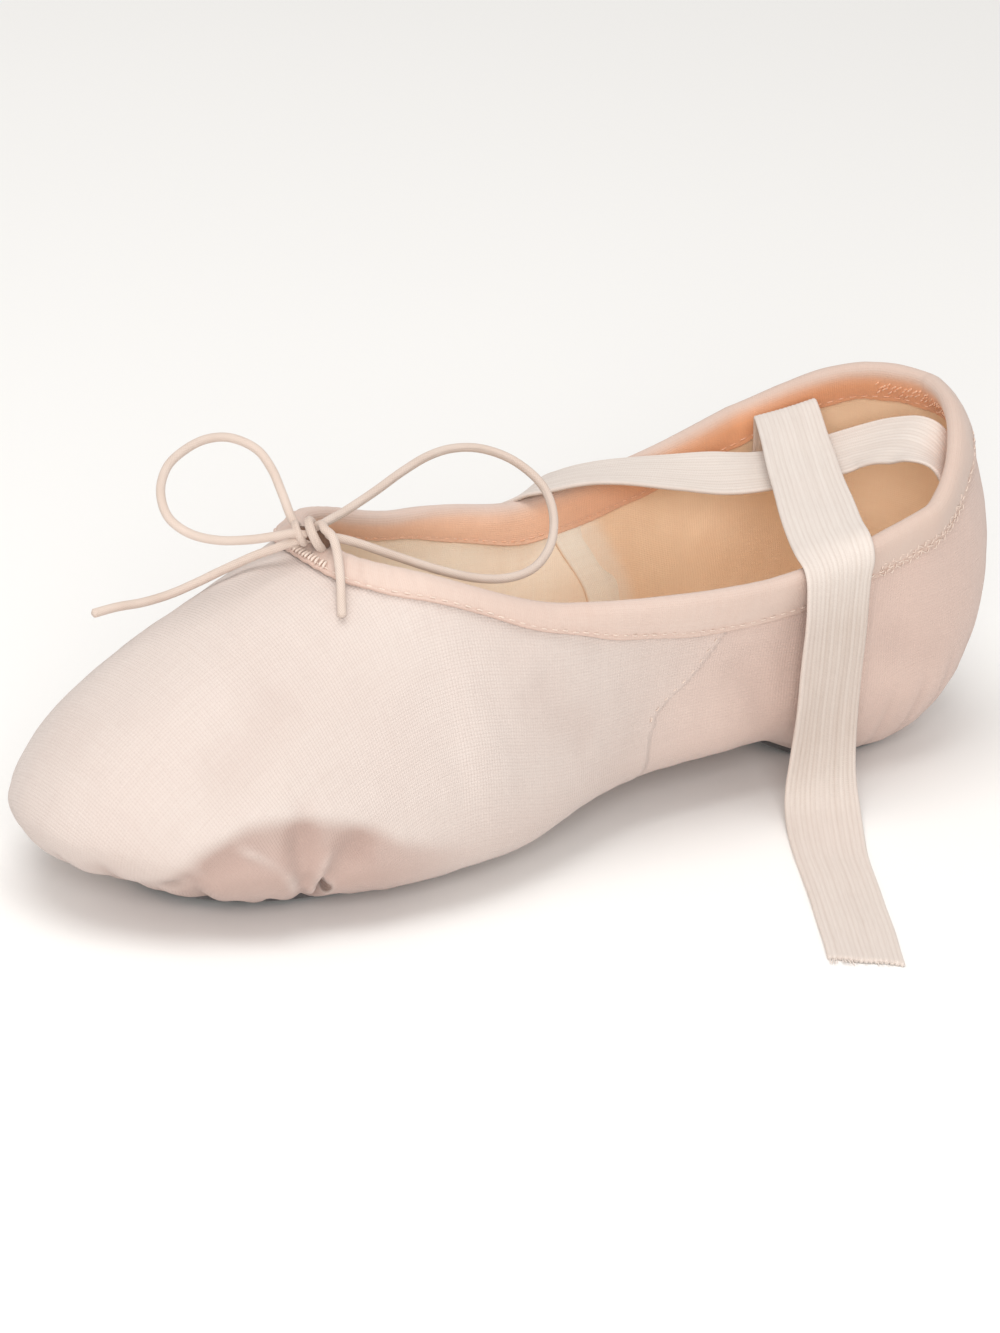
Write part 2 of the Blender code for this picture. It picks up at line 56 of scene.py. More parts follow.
# The last, as the solids have it
LENGTH = 230.0
HEEL_ARC = 36.0
TOE_ARC = 74.0
HEEL_ROUNDNESS = 2.1
TOE_ROUNDNESS = 2.1
FLAT_SHARE = 0.4
CANVAS = 1.3
SUEDE = 1.5
INSOLE = 1.0
GAP = 0.3
INSOLE_GAP = 0.9
COLLAR_HALF_WIDTH = 32.9
COLLAR_BACK = 9.5
COLLAR_THROAT = 164.5
COLLAR_BACK_ROUNDNESS = 1.5
COLLAR_THROAT_ROUNDNESS = 2.95
CANVAS_BELOW_COLLAR = 2.4
WIDTHS = ((HEEL_ARC, 32.0), (95.0, 28.0), (LENGTH - TOE_ARC, 40.0))
SECTION_COLUMNS = ("y", "underside", "widest", "under_round", "lean", "wall_round")
SECTIONS = (
    (0.0, 1.8, 38.0, 2.0, 46.0, 2.0),
    (36.0, 1.8, 29.0, 2.4, 45.5, 2.0),
    (46.0, 1.8, 27.0, 2.4, 45.5, 2.0),
    (68.0, 8.8, 23.0, 2.4, 47.0, 2.0),
    (95.0, 8.0, 19.0, 2.3, 52.0, 1.72),
    (118.0, 6.2, 16.0, 2.15, 57.5, 1.5),
    (140.0, 1.8, 14.0, 2.05, 64.5, 1.45),
    (160.0, 1.8, 13.0, 2.0, 68.5, 1.45),
    (200.0, 1.8, 15.0, 1.9, 68.0, 1.5),
    (230.0, 3.0, 19.5, 1.9, 65.0, 1.55),
)
COLLAR_HEIGHTS = (
    (COLLAR_BACK, 72.8),
    (35.0, 58.8),
    (80.0, 50.0),
    (125.0, 53.2),
    (COLLAR_THROAT, 63.8),
)
RIM_DIP, RIM_DIP_Y, RIM_DIP_LENGTH = 2.7, 94.0, 15.0
RIM_DIP_X, RIM_DIP_LOW, RIM_DIP_HIGH = 20.0, 20.0, 48.0
# Back end, front end, half width, roundness
HEEL_PAD = (16.5, 54.5, 16.5, 2.2)
FOREFOOT_PAD = (137.0, 204.0, 21.5, 2.2)
HEEL_OPENING = (22.0, 48.5, 11.5, 2.2)
FOREFOOT_OPENING = (144.0, 198.0, 16.5, 2.2)
HEEL_INSOLE = (17.0, 94.0, 17.0, 2.6)
FOREFOOT_INSOLE = (104.0, 207.0, 25.0, 2.5)

# Straps: middle of the strap, direction across it, width
STRAP_FAR_ROUTE = (
    (25.2, 25.8, 43.0, 0.50, 0.84, -0.20, 13.6), (24.2, 26.6, 52.0, 0.50, 0.84, -0.28, 13.6),
    (23.2, 28.0, 59.0, 0.48, 0.84, -0.32, 13.6), (21.2, 30.0, 62.2, 0.46, 0.84, -0.32, 13.6),
    (16.4, 32.8, 61.9, 0.46, 0.86, -0.22, 13.8), (7.6, 38.0, 60.4, 0.48, 0.87, -0.12, 14.4),
    (-2.0, 43.8, 58.9, 0.49, 0.87, -0.10, 15.0), (-13.0, 50.3, 57.6, 0.48, 0.88, -0.12, 15.6),
    (-24.0, 56.8, 56.6, 0.40, 0.90, -0.18, 16.0), (-31.6, 60.8, 55.9, 0.20, 0.95, -0.22, 16.2),
    (-35.6, 62.0, 52.8, 0.06, 0.99, -0.14, 16.4), (-36.4, 62.2, 46.0, 0.0, 1.0, -0.04, 16.4),
    (-36.5, 62.2, 36.0, 0.0, 1.0, 0.0, 16.4), (-36.3, 62.2, 26.0, 0.0, 1.0, 0.0, 16.4),
    (-36.2, 62.2, 16.0, 0.04, 1.0, 0.0, 16.4), (-37.2, 62.9, 8.0, 0.16, 0.98, 0.0, 16.2),
    (-40.6, 65.0, 3.0, 0.34, 0.93, 0.0, 16.0), (-46.5, 69.0, 1.0, 0.46, 0.88, 0.0, 15.6),
    (-55.5, 75.2, 0.6, 0.53, 0.85, 0.0, 15.2), (-65.0, 81.0, 0.6, 0.54, 0.84, 0.0, 14.8),
    (-75.0, 87.2, 0.6, 0.57, 0.82, 0.0, 14.8), (-85.6, 93.8, 0.6, 0.62, 0.78, 0.0, 14.8),
    (-96.4, 100.8, 0.6, 0.66, 0.75, 0.0, 14.8),
)
STRAP_NEAR_ROUTE = (
    (-19.4, 17.4, 44.0, 0.68, -0.73, 0.00, 13.6), (-19.0, 17.8, 51.0, 0.68, -0.73, 0.00, 13.6),
    (-18.2, 18.4, 57.2, 0.68, -0.73, 0.05, 13.4), (-16.4, 19.2, 61.4, 0.66, -0.74, 0.14, 13.4),
    (-12.8, 20.2, 63.4, 0.56, -0.78, 0.28, 13.8), (-7.6, 20.8, 63.4, 0.42, -0.78, 0.46, 14.2),
    (-2.0, 22.0, 61.6, 0.44, -0.78, 0.42, 14.6), (3.0, 24.6, 59.0, 0.76, -0.58, 0.24, 15.0),
    (5.8, 29.6, 57.0, 0.92, -0.34, 0.15, 15.2), (7.6, 37.0, 55.6, 0.96, -0.26, 0.08, 15.4),
    (10.0, 45.0, 54.8, 0.90, -0.42, 0.14, 15.6), (14.0, 53.0, 54.4, 0.80, -0.58, 0.22, 15.8),
    (18.8, 60.6, 54.3, 0.72, -0.68, 0.10, 15.8), (23.6, 68.0, 54.3, 0.66, -0.75, -0.02, 15.8),
    (28.4, 75.8, 54.0, 0.62, -0.78, -0.13, 15.8), (31.6, 81.4, 53.2, 0.54, -0.82, -0.13, 15.8),
    (34.8, 85.6, 51.5, 0.38, -0.92, -0.05, 15.8), (37.2, 87.8, 48.2, 0.18, -0.98, 0.16, 15.8),
    (37.6, 88.4, 42.0, 0.0, -1.0, 0.10, 15.8), (36.6, 88.8, 32.0, 0.0, -1.0, 0.0, 15.8),
    (36.6, 89.2, 20.0, 0.0, -1.0, 0.0, 15.8), (37.4, 89.8, 9.0, 0.10, -0.99, 0.0, 15.8),
    (40.6, 91.4, 3.0, 0.28, -0.95, 0.0, 15.6), (46.6, 93.8, 1.0, 0.36, -0.93, 0.0, 15.4),
    (56.0, 97.2, 0.6, 0.38, -0.92, 0.0, 15.0), (66.0, 100.8, 0.6, 0.36, -0.93, 0.0, 14.8),
    (77.0, 104.6, 0.6, 0.32, -0.95, 0.0, 14.8),
)
STRAP_STEP = 0.9
STRAP_THICKNESS = 1.0
STRAP_RIBS = 15
# Share of its thickness between the ribs, and what a rib adds
STRAP_RELIEF = (0.78, 0.14)
# Share of its half width over which it thins to the edge, how thin, and how far its edges wander
STRAP_EDGE = 0.05
STRAP_EDGE_THIN = 0.35
STRAP_EDGE_WANDER = 0.006
STRAP_RIPPLE = 0.10
# How far back the uneven cut reaches
STRAP_CUT_REACH = 4.0
STRAP_END_SLANT = 1.0
STRAP_FRAYS = 26

# Drawstring
CORD_DIAMETER = 1.8
CORD_STEP = 0.42
KNOT_MIDDLE = (-0.5, 168.4, 67.4)
CORD_EXIT = (-0.5, 167.6, 65.6)
LOOP_LEFT_ROUTE = (
    (2.9, 169.7, 69.0), (8.0, 169.0, 72.8), (12.5, 168.6, 76.4), (16.8, 169.4, 79.2),
    (19.8, 173.4, 81.2), (20.6, 178.6, 81.6), (19.6, 184.4, 80.7), (17.2, 190.0, 79.0),
    (13.0, 194.2, 76.2), (8.4, 195.4, 72.8), (4.8, 192.8, 70.2), (2.6, 187.6, 68.6), (1.4, 181.0, 67.9),
    (0.4, 175.4, 68.0), (-0.1, 172.1, 68.1),
)
LOOP_RIGHT_ROUTE = (
    (0.7, 165.0, 67.9), (3.2, 157.2, 68.8), (6.2, 148.0, 70.2), (9.0, 139.6, 71.8), (11.2, 131.6, 73.0),
    (12.0, 124.6, 73.2), (10.8, 118.2, 72.4), (7.0, 113.2, 70.4), (1.2, 110.6, 67.0),
    (-5.0, 112.0, 63.4), (-11.4, 117.0, 60.0), (-15.8, 124.0, 57.8), (-17.0, 131.0, 57.2),
    (-16.0, 138.2, 58.0), (-13.0, 146.0, 60.2), (-8.4, 153.6, 63.0), (-4.6, 160.2, 65.6),
    (-2.9, 164.8, 66.9),
)
END_LEFT_ROUTE = (
    (0.6, 171.6, 65.9), (2.8, 174.2, 64.2), (5.6, 176.4, 62.3), (8.6, 178.6, 59.9), (11.4, 181.0, 57.5),
    (13.8, 184.2, 55.1), (15.6, 189.0, 53.0), (16.6, 194.6, 52.0), (17.0, 200.4, 52.0),
    (17.2, 206.0, 51.6),
)
END_DOWN_ROUTE = (
    (-4.6, 167.6, 69.6), (-6.6, 167.4, 69.0), (-8.8, 167.8, 67.2), (-11.0, 168.6, 64.8),
    (-13.2, 169.6, 62.0), (-15.2, 170.7, 59.3), (-17.2, 171.8, 56.8),
)
# How each cord passes through the knot between its loop and its end
THROUGH_KNOT_RIGHT = ((-0.6, 168.6, 66.6),)
THROUGH_KNOT_LEFT = ((-0.6, 169.6, 67.6), (-1.0, 167.6, 68.6), (-2.4, 167.0, 69.8))

# Camera: where it aims on the last, how it is turned, how far off it is, how far right and down of
# the view's middle the aim sits, in radians, and its lens
AIM = (0.0, 84.0, 25.0)
TURN_TO_TOE = 38.87
ELEVATION = 22.95
ROLL = 4.14
DISTANCE = 1136.0
AIM_SHIFT = (0.00225, 0.00294)
LENS = 152.48
SENSOR = 36.0

# Soft lights: place, size, power, colour
LIGHTS = {
    "key": ((-1.1, 0.9, 0.66), 0.7, 11.0, (1.0, 0.99, 0.975)),
    "top": ((-0.05, 0.42, 1.55), 1.2, 11.0, (1.0, 0.985, 0.965)),
}
LIGHT_AIM = (0.0, 0.06, 0.03)
SKY_COLOUR = (1.0, 0.985, 0.965, 1.0)
SKY_STRENGTH = 0.56
FLOOR_REACH = 6.0
FLOOR_PALE = (0.95, 0.945, 0.935, 1.0)
FLOOR_SHADE = (0.93, 0.925, 0.915, 1.0)


# --- shapes ---


def place(points):
    """From millimetres on the last to the shared frame, with the sag of the rim's right side."""
    points = np.array(points, float)
    from_middle = (points[..., 1] - RIM_DIP_Y) / RIM_DIP_LENGTH
    share = np.clip(points[..., 0] / RIM_DIP_X, 0.0, 1.0)
    share = share * np.clip((points[..., 2] - RIM_DIP_LOW) / (RIM_DIP_HIGH - RIM_DIP_LOW), 0.0, 1.0)
    points[..., 2] -= RIM_DIP * np.exp(-(from_middle**2)) * share
    return points * MM + (0.0, HEEL_BACK_Y, 0.0)


def glide(table, at, value=1):
    """Reads a column of a table at the given places, on a smooth curve that never overshoots."""
    table = np.asarray(table, float)
    places, values = table[:, 0], table[:, value]
    step = np.diff(places)
    rise = np.diff(values) / step
    slope = np.zeros(len(places))
    for i in range(1, len(places) - 1):
        if rise[i - 1] * rise[i] > 0:
            before = 2 * step[i] + step[i - 1]
            after = step[i] + 2 * step[i - 1]
            slope[i] = (before + after) / (before / rise[i - 1] + after / rise[i])
    at = np.clip(at, places[0], places[-1])
    i = np.clip(np.searchsorted(places, at) - 1, 0, len(step) - 1)
    t = (at - places[i]) / step[i]
    start = (1 + 2 * t) * (1 - t) ** 2 * values[i] + t * (1 - t) ** 2 * step[i] * slope[i]
    end = t * t * (3 - 2 * t) * values[i + 1] - t * t * (1 - t) * step[i] * slope[i + 1]
    return start + end


def section_value(name, at):
    return glide(SECTIONS, at, SECTION_COLUMNS.index(name))


def reach(inside, centre_y, across, along):
    """How far each ray from (0, centre_y) stays inside an outline: a search by halves."""
    near, far = np.zeros(len(across)), np.full(len(across), LENGTH)
    for _ in range(40):
        middle = (near + far) / 2
        within = inside(middle * across, centre_y + middle * along)
        near = np.where(within, middle, near)
        far = np.where(within, far, middle)
    return near


def in_last(x, y):
    heel = np.clip((HEEL_ARC - y) / HEEL_ARC, 0.0, None) ** HEEL_ROUNDNESS
    toe = np.clip((y - LENGTH + TOE_ARC) / TOE_ARC, 0.0, None) ** TOE_ROUNDNESS
    roundness = np.where(y < HEEL_ARC, HEEL_ROUNDNESS, TOE_ROUNDNESS)
    return (np.abs(x) / glide(WIDTHS, y)) ** roundness + heel + toe < 1


def in_collar(x, y):
    back = y < HEEL_ARC
    half_length = np.where(back, HEEL_ARC - COLLAR_BACK, COLLAR_THROAT - HEEL_ARC)
    roundness = np.where(back, COLLAR_BACK_ROUNDNESS, COLLAR_THROAT_ROUNDNESS)
    across = (np.abs(x) / COLLAR_HALF_WIDTH) ** roundness
    return across + (np.abs(y - HEEL_ARC) / half_length) ** roundness < 1


def oval_size(oval, x, y):
    """1 on the oval's edge, less inside it."""
    back, front, half_width, roundness = oval
    along = np.abs(y - (back + front) / 2) / ((front - back) / 2)
    return ((np.abs(x) / half_width) ** roundness + along**roundness) ** (1 / roundness)


def oval_edge(oval, angle, inset=0.0):
    """Points of the oval's edge, or of one drawn in by inset."""
    back, front, half_width, roundness = oval
    c, s = np.cos(angle), np.sin(angle)
    size = (np.abs(c) ** roundness + np.abs(s) ** roundness) ** (-1 / roundness)
    return (half_width - inset) * size * c, (back + front) / 2 + ((front - back) / 2 - inset) * size * s


class Columns:
    """Sections of the last's right half, from the sole's middle or an opening's edge to the collar."""

    def __init__(self, angle, centre_y):
        self.centre_y = centre_y
        self.across, self.along = np.sin(angle), -np.cos(angle)
        rays = (centre_y, self.across, self.along)
        self.widest = reach(in_last, *rays)
        self.collar = reach(in_collar, *rays)
        self.opening = np.maximum(*(
            reach(lambda x, y: oval_size(oval, x, y) < 1, *rays)
            for oval in (HEEL_OPENING, FOREFOOT_OPENING)
        ))
        edge_y = centre_y + self.widest * self.along
        self.widest_z = section_value("widest", edge_y)
        self.under_round = section_value("under_round", edge_y)
        self.lean = np.radians(section_value("lean", edge_y))
        self.power = 2 / section_value("wall_round", edge_y)
        self.collar_z = glide(COLLAR_HEIGHTS, centre_y + self.collar * self.along)

    def at_radius(self, radius, z):
        return np.stack([radius * self.across, self.centre_y + radius * self.along, z], -1)

    def wall(self, level):
        """A point of the wall: level 0 is on the widest line and 1 on the collar line."""
        turn = level * self.lean
        inward = (1 - np.cos(turn) ** self.power) / (1 - np.cos(self.lean) ** self.power)
        rise = (np.sin(turn) / np.sin(self.lean)) ** self.power
        radius = self.widest - (self.widest - self.collar) * inward
        return self.at_radius(radius, self.widest_z + (self.collar_z - self.widest_z) * rise)

    def under(self, radius):
        """A point of the underside, which is flat in the middle and rolls up to the widest line."""
        low = section_value("underside", self.centre_y + radius * self.along)
        out = np.clip((radius / self.widest - FLAT_SHARE) / (1 - FLAT_SHARE), 0.0, 1.0)
        drop = (1 - out**self.under_round) ** (1 / self.under_round)
        return self.at_radius(radius, self.widest_z - (self.widest_z - low) * drop)

    def level_below_collar(self, distance):
        """The wall's level, 0 to 1, this far down from the collar line."""
        levels = np.linspace(1.0, 0.0, 120)
        runs = run_along(np.stack([self.wall(level) for level in levels]))
        distances = np.broadcast_to(distance, runs.shape[1])
        return np.array([np.interp(far, run, levels) for far, run in zip(distances, runs.T)])

    def below_collar(self, distance):
        """The point this far down the wall from the collar line, or straight on above it."""
        if np.min(distance) >= 0:
            return self.wall(self.level_below_collar(distance))
        top = self.wall(1.0)
        return top - distance * unit(top - self.wall(self.level_below_collar(0.5)))


def last_columns(heel_count, side_count, toe_count):
    toe_start = LENGTH - TOE_ARC
    heel = np.linspace(0, math.pi / 2, heel_count, endpoint=False)
    toe = np.linspace(math.pi / 2, math.pi, toe_count + 1)
    side_y = np.linspace(HEEL_ARC, toe_start, side_count, endpoint=False)
    return Columns(
        np.concatenate([heel, np.full(side_count, math.pi / 2), toe]),
        np.concatenate([np.full(heel_count, HEEL_ARC), side_y, np.full(toe_count + 1, toe_start)]),
    )


def there_and_back(half):
    """The right half's values, then the left half's, so that they follow the ring."""
    return np.concatenate([half, half[-2:0:-1]])


def around(half):
    """Closes the right half's points into a ring with the left half's."""
    ring = there_and_back(half)
    ring[len(half):, ..., 0] *= -1
    return ring


def sole_height(x, y):
    """Height of the canvas's underside over a point of the floor."""
    centre_y = np.clip(y, HEEL_ARC, LENGTH - TOE_ARC)
    radius = np.hypot(x, y - centre_y)
    angle = np.where(radius > 0, np.arctan2(np.abs(x), centre_y - y), math.pi / 2)
    return Columns(angle, centre_y).under(radius)[:, 2]


def unit(vectors):
    return vectors / np.maximum(np.linalg.norm(vectors, axis=-1, keepdims=True), 1e-9)


def smooth_step(low, high, value):
    """0 at low and 1 at high, with soft ends. It falls where high is given first."""
    t = np.clip((value - low) / (high - low), 0.0, 1.0)
    return t * t * (3 - 2 * t)


def bell(value, width):
    """1 where value is 0, and less the further it is from there."""
    return np.exp(-((value / width) ** 2))


def run_along(line):
    """Distance along a line at each of its points, or along each of several lines side by side."""
    steps = np.linalg.norm(np.diff(line[..., :3], axis=0), axis=-1)
    return np.concatenate([np.zeros_like(steps[:1]), np.cumsum(steps, axis=0)])


def smooth_route(route, step):
    """Points on a smooth curve through a route's points (Catmull-Rom), about one step apart."""
    route = np.asarray(route, float)
    ends = np.concatenate([[2 * route[0] - route[1]], route, [2 * route[-1] - route[-2]]])
    t = np.linspace(0, 1, 24, endpoint=False)[:, None]
    curve = []
    for a, b, c, d in zip(ends, ends[1:], ends[2:], ends[3:]):
        bend = (2 * a - 5 * b + 4 * c - d) * t**2 + (3 * b - a - 3 * c + d) * t**3
        curve.append(b + 0.5 * ((c - a) * t + bend))
    curve = np.concatenate([*curve, route[-1:]])
    run = run_along(curve)
    at = np.linspace(0, run[-1], max(2, round(run[-1] / step)) + 1)
    return np.stack([np.interp(at, run, values) for values in curve.T], -1)


def near_route(points, route):
    """Distance from each point to a broken line, and how far along it the nearest place is, 0 to 1."""
    run = run_along(route)
    best, share = np.full(len(points), np.inf), np.zeros(len(points))
    for start, end, begun, done in zip(route, route[1:], run, run[1:]):
        t = np.clip((points - start) @ (end - start) / (done - begun) ** 2, 0, 1)
        away = np.linalg.norm(points - start - t[:, None] * (end - start), axis=1)
        nearer = away < best
        best = np.where(nearer, away, best)
        share = np.where(nearer, (begun + t * (done - begun)) / run[-1], share)
    return best, share


def soft_waves(points, height, wavelength, seed):
    """An even, wandering wave over space, about this high either way, the same each run."""
    draw = random.Random(seed)
    total = np.zeros(points.shape[:-1])
    for _ in range(7):
        heading = np.array([draw.gauss(0, 1) for _ in range(3)])
        heading *= 2 * math.pi / wavelength * draw.uniform(0.7, 1.5) / np.linalg.norm(heading)
        total += np.sin(points @ heading + draw.uniform(0, 2 * math.pi))
    return height * total / 3.2


def grid_faces(grid, ring_columns=False, ring_rows=False):
    """Quads over a grid's columns of points, closed round in either direction if asked."""
    columns, rows = grid.shape[:2]
    faces = []
    for column in range(columns if ring_columns else columns - 1):
        here, following = column * rows, (column + 1) % columns * rows
        for row in range(rows if ring_rows else rows - 1):
            above = (row + 1) % rows
            faces.append((here + row, following + row, following + above, here + above))
    return faces


def join(parts):
    """Points and faces of several parts as those of one mesh."""
    points, faces, base = [], [], 0
    for part_points, part_faces in parts:
        points.append(part_points)
        faces += [tuple(base + corner for corner in face) for face in part_faces]
        base += len(part_points)
    return np.concatenate(points), faces


def new_object(name, data):
    """An object in the scene."""
    made = bpy.data.objects.new(name, data)
    bpy.context.scene.collection.objects.link(made)
    return made


def make_piece(name, points, faces, material, slot, *replaced):
    """A smooth-shaded mesh, from points on the last, that rides on the slipper."""
    mesh = bpy.data.meshes.new(name)
    mesh.from_pydata([tuple(point) for point in place(points).reshape(-1, 3)], [], faces)
    mesh.materials.append(material)
    mesh.shade_smooth()
    piece = new_object(name, mesh)
    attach(piece, "root")
    if replaced:
        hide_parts(*replaced)
    return piece


def add_fields(piece, **fields):
    """Named fields on the mesh's points for its material to read: one number or three a point."""
    for name, values in fields.items():
        values = np.asarray(values, np.float32).ravel()
        single = len(values) == len(piece.data.vertices)
        kind, key = ("FLOAT", "value") if single else ("FLOAT_VECTOR", "vector")
        piece.data.attributes.new(name, kind, "POINT").data.foreach_set(key, values)


def thicken(piece, thickness, side):
    """Gives a sheet its thickness: inwards where side is -1, both ways where it is 0."""
    solid = piece.modifiers.new("thickness", "SOLIDIFY")
    solid.thickness = thickness * MM
    solid.offset = side
    return solid


def soften(piece, width, segments):
    """Rounds a piece's sharp edges."""
    edge = piece.modifiers.new("soft edge", "BEVEL")
    edge.width = width * MM
    edge.segments = segments
    edge.angle_limit = math.radians(50)


# --- materials ---


class Nodes:
    """Short calls for building a node tree."""

    def __init__(self, tree):
        self.tree = tree

    def feed(self, socket, value):
        if isinstance(value, bpy.types.NodeSocket):
            self.tree.links.new(value, socket)
        else:
            socket.default_value = value

    def add(self, kind, inputs=(), **settings):
        """A new node. inputs is name or number of a socket to what feeds it."""
        node = self.tree.nodes.new(kind)
        for name, value in settings.items():
            setattr(node, name, value)
        for key, value in dict(inputs).items():
            self.feed(node.inputs[key], value)
        return node

    def math(self, operation, *values, clamp=False):
        node = self.add("ShaderNodeMath", enumerate(values), operation=operation, use_clamp=clamp)
        return node.outputs[0]

    def plus(self, first, second, clamp=False):
        return self.math("ADD", first, second, clamp=clamp)

    def times(self, first, second, clamp=False):
        return self.math("MULTIPLY", first, second, clamp=clamp)

    def wave(self, turn):
        """Humps between 0 and 1, two a turn."""
        return self.math("ABSOLUTE", self.math("SINE", turn))

    def mix(self, factor, first, second):
        node = self.add("ShaderNodeMix", {0: factor, 6: first, 7: second}, data_type="RGBA")
        return node.outputs[2]

    def span(self, value, low, high, to_low=0.0, to_high=1.0):
        """Reads low to high as to_low to to_high, and goes no further either way."""
        node = self.add("ShaderNodeMapRange", enumerate((value, low, high, to_low, to_high)), clamp=True)
        return node.outputs[0]

    def noise(self, where, scale, detail=3.0, roughness=0.5):
        inputs = {"Vector": where, "Scale": scale, "Detail": detail, "Roughness": roughness}
        return self.add("ShaderNodeTexNoise", inputs).outputs["Fac"]

    def field(self, name, output="Fac"):
        return self.add("ShaderNodeAttribute", attribute_name=name).outputs[output]

    def place(self):
        return self.add("ShaderNodeTexCoord").outputs["Object"]

    def axes(self, vector):
        return self.add("ShaderNodeSeparateXYZ", {0: vector}).outputs

    def scaled(self, vector, *scale):
        return self.add("ShaderNodeVectorMath", {0: vector, 1: scale}, operation="MULTIPLY").outputs[0]

    def bump(self, height, strength, distance, over=None):
        """Raises the surface by a height, over another bump where one is given."""
        inputs = {"Height": height, "Strength": strength, "Distance": distance}
        if over is not None:
            inputs["Normal"] = over
        return self.add("ShaderNodeBump", inputs).outputs[0]

    def placed(self, group, **inputs):
        return self.add("ShaderNodeGroup", node_tree=group, inputs=inputs).outputs


def make_group(name, inputs, outputs):
    """A shader node group. inputs and outputs are name to kind of socket."""
    group = bpy.data.node_groups.new(name, "ShaderNodeTree")
    for direction, sockets in (("INPUT", inputs), ("OUTPUT", outputs)):
        for socket, kind in sockets.items():
            group.interface.new_socket(socket, in_out=direction, socket_type="NodeSocket" + kind)
    nodes = Nodes(group)
    return group, nodes, nodes.add("NodeGroupInput").outputs, nodes.add("NodeGroupOutput").inputs


def woven_threads():
    """Plain weave: Height of the threads, and a mask of the small gaps between them."""
    group, nodes, given, made = make_group(
        "woven_threads", {"Cloth": "Vector", "Threads": "Float"}, {"Height": "Float", "Gaps": "Float"}
    )
    wander = nodes.times(nodes.noise(given["Cloth"], 160.0, 2.0), THREAD_WANDER)
    cells, squares = [], []
    for axis in nodes.axes(given["Cloth"])[:2]:
        count = nodes.plus(nodes.times(axis, given["Threads"]), wander)
        away = nodes.math("SUBTRACT", nodes.math("FRACT", count), 0.5)
        cells.append(nodes.math("FLOOR", count))
        squares.append(nodes.times(away, away))
    parity = nodes.math("PINGPONG", nodes.plus(*cells), 1.0)
    threads = []
    for crossed, run, on_top in (
        (*squares, parity),
        (*reversed(squares), nodes.math("SUBTRACT", 1.0, parity)),
    ):
        crown = nodes.math("SUBTRACT", 1.0, nodes.times(crossed, THREAD_CROWN))
        arch = nodes.math("SUBTRACT", 1.0, nodes.times(run, THREAD_ARCH))
        threads.append(nodes.times(nodes.times(crown, arch), on_top))
    nodes.feed(made["Height"], nodes.plus(*threads))
    # The gaps are where shade is painted between the threads
    nodes.feed(made["Gaps"], nodes.span(nodes.plus(*squares), 0.22, 0.46))
    return group


def cloth_tint():
    """A dyed cloth's colour: mottled, with thread-to-thread streaks, and painted shade, darker and warmer, in
    the gaps between threads and in folds.
    """
    group, nodes, given, made = make_group(
        "cloth_tint",
        {"Colour": "Color", "Deep": "Color", "Cloth": "Vector", "Fold": "Float", "Gaps": "Float",
         "Mottle": "Float"},
        {"Colour": "Color"},
    )
    broad = nodes.span(nodes.noise(nodes.place(), 34.0, 4.0, 0.6), 0.3, 0.72)
    streaks = [
        nodes.noise(nodes.scaled(given["Cloth"], *stretch), 1.0, 2.0)
        for stretch in ((1500.0, 60.0, 1.0), (60.0, 1500.0, 1.0))
    ]
    colour = given["Colour"]
    # Random mottle and streaks, then painted shade in the thread gaps and in folds
    for share in (
        nodes.times(broad, given["Mottle"]),
        nodes.times(nodes.span(nodes.plus(*streaks), 0.75, 1.25), STREAK_SHADE),
        nodes.times(given["Gaps"], THREAD_GAP_SHADE),
        given["Fold"],
    ):
        colour = nodes.mix(share, colour, given["Deep"])
    nodes.feed(made["Colour"], colour)
    return group


def new_material(name, roughness, sheen=0.0, sheen_roughness=0.5):
    """A material, the calls that build its nodes, and its shader's sockets."""
    material = bpy.data.materials.new(name)
    material.use_nodes = True
    shader = material.node_tree.nodes["Principled BSDF"].inputs
    shader["Roughness"].default_value = roughness
    shader["Sheen Weight"].default_value = sheen
    shader["Sheen Roughness"].default_value = sheen_roughness
    shader["Specular IOR Level"].default_value = 0.25
    return material, Nodes(material.node_tree), shader


# Each deep colour below stands for painted shade in folds, grooves and thread gaps, and also for the cloth's
# random mottle and streaks
CANVAS_PINK = (0.695, 0.607, 0.560, 1.0)
CANVAS_DEEP = (0.49, 0.355, 0.31, 1.0)
QUARTER_PINK = (0.705, 0.532, 0.462, 1.0)
TAPE_PINK = (0.72, 0.58, 0.51, 1.0)
TAPE_PINK_HEEL = (0.66, 0.525, 0.455, 1.0)
TAPE_DEEP = (0.56, 0.33, 0.25, 1.0)
LINING_CREAM = (1.0, 0.91, 0.77, 1.0)
LINING_PEACH = (1.0, 0.785, 0.565, 1.0)
LINING_DEEP = (0.90, 0.56, 0.36, 1.0)
# Painted shade: the binding's inner face, darker and warmer salmon, deeper at the heel
TAPE_INSIDE_SHADE = (0.98, 0.62, 0.43, 1.0)
TAPE_INSIDE_HEEL_SHADE = (0.93, 0.455, 0.235, 1.0)
SEAM_TAPE_PALE = (1.0, 0.96, 0.86, 1.0)
# Painted shadow line along the seam tape's front edge, and its small mottle
SEAM_TAPE_EDGE_SHADE = (0.78, 0.56, 0.40, 1.0)
ELASTIC_PALE = (0.775, 0.70, 0.645, 1.0)
# Painted shade between the ribs and down the hanging strap, and the elastic's random lanes and grain
ELASTIC_DEEP = (0.56, 0.46, 0.40, 1.0)
CORD_PALE = (0.73, 0.62, 0.55, 1.0)
# Painted shade between the plait's strands, and random soiling
CORD_DEEP = (0.50, 0.36, 0.28, 1.0)
# Painted shadow inside the knot, on its core
CORD_SHADE = (0.16, 0.09, 0.06, 1.0)
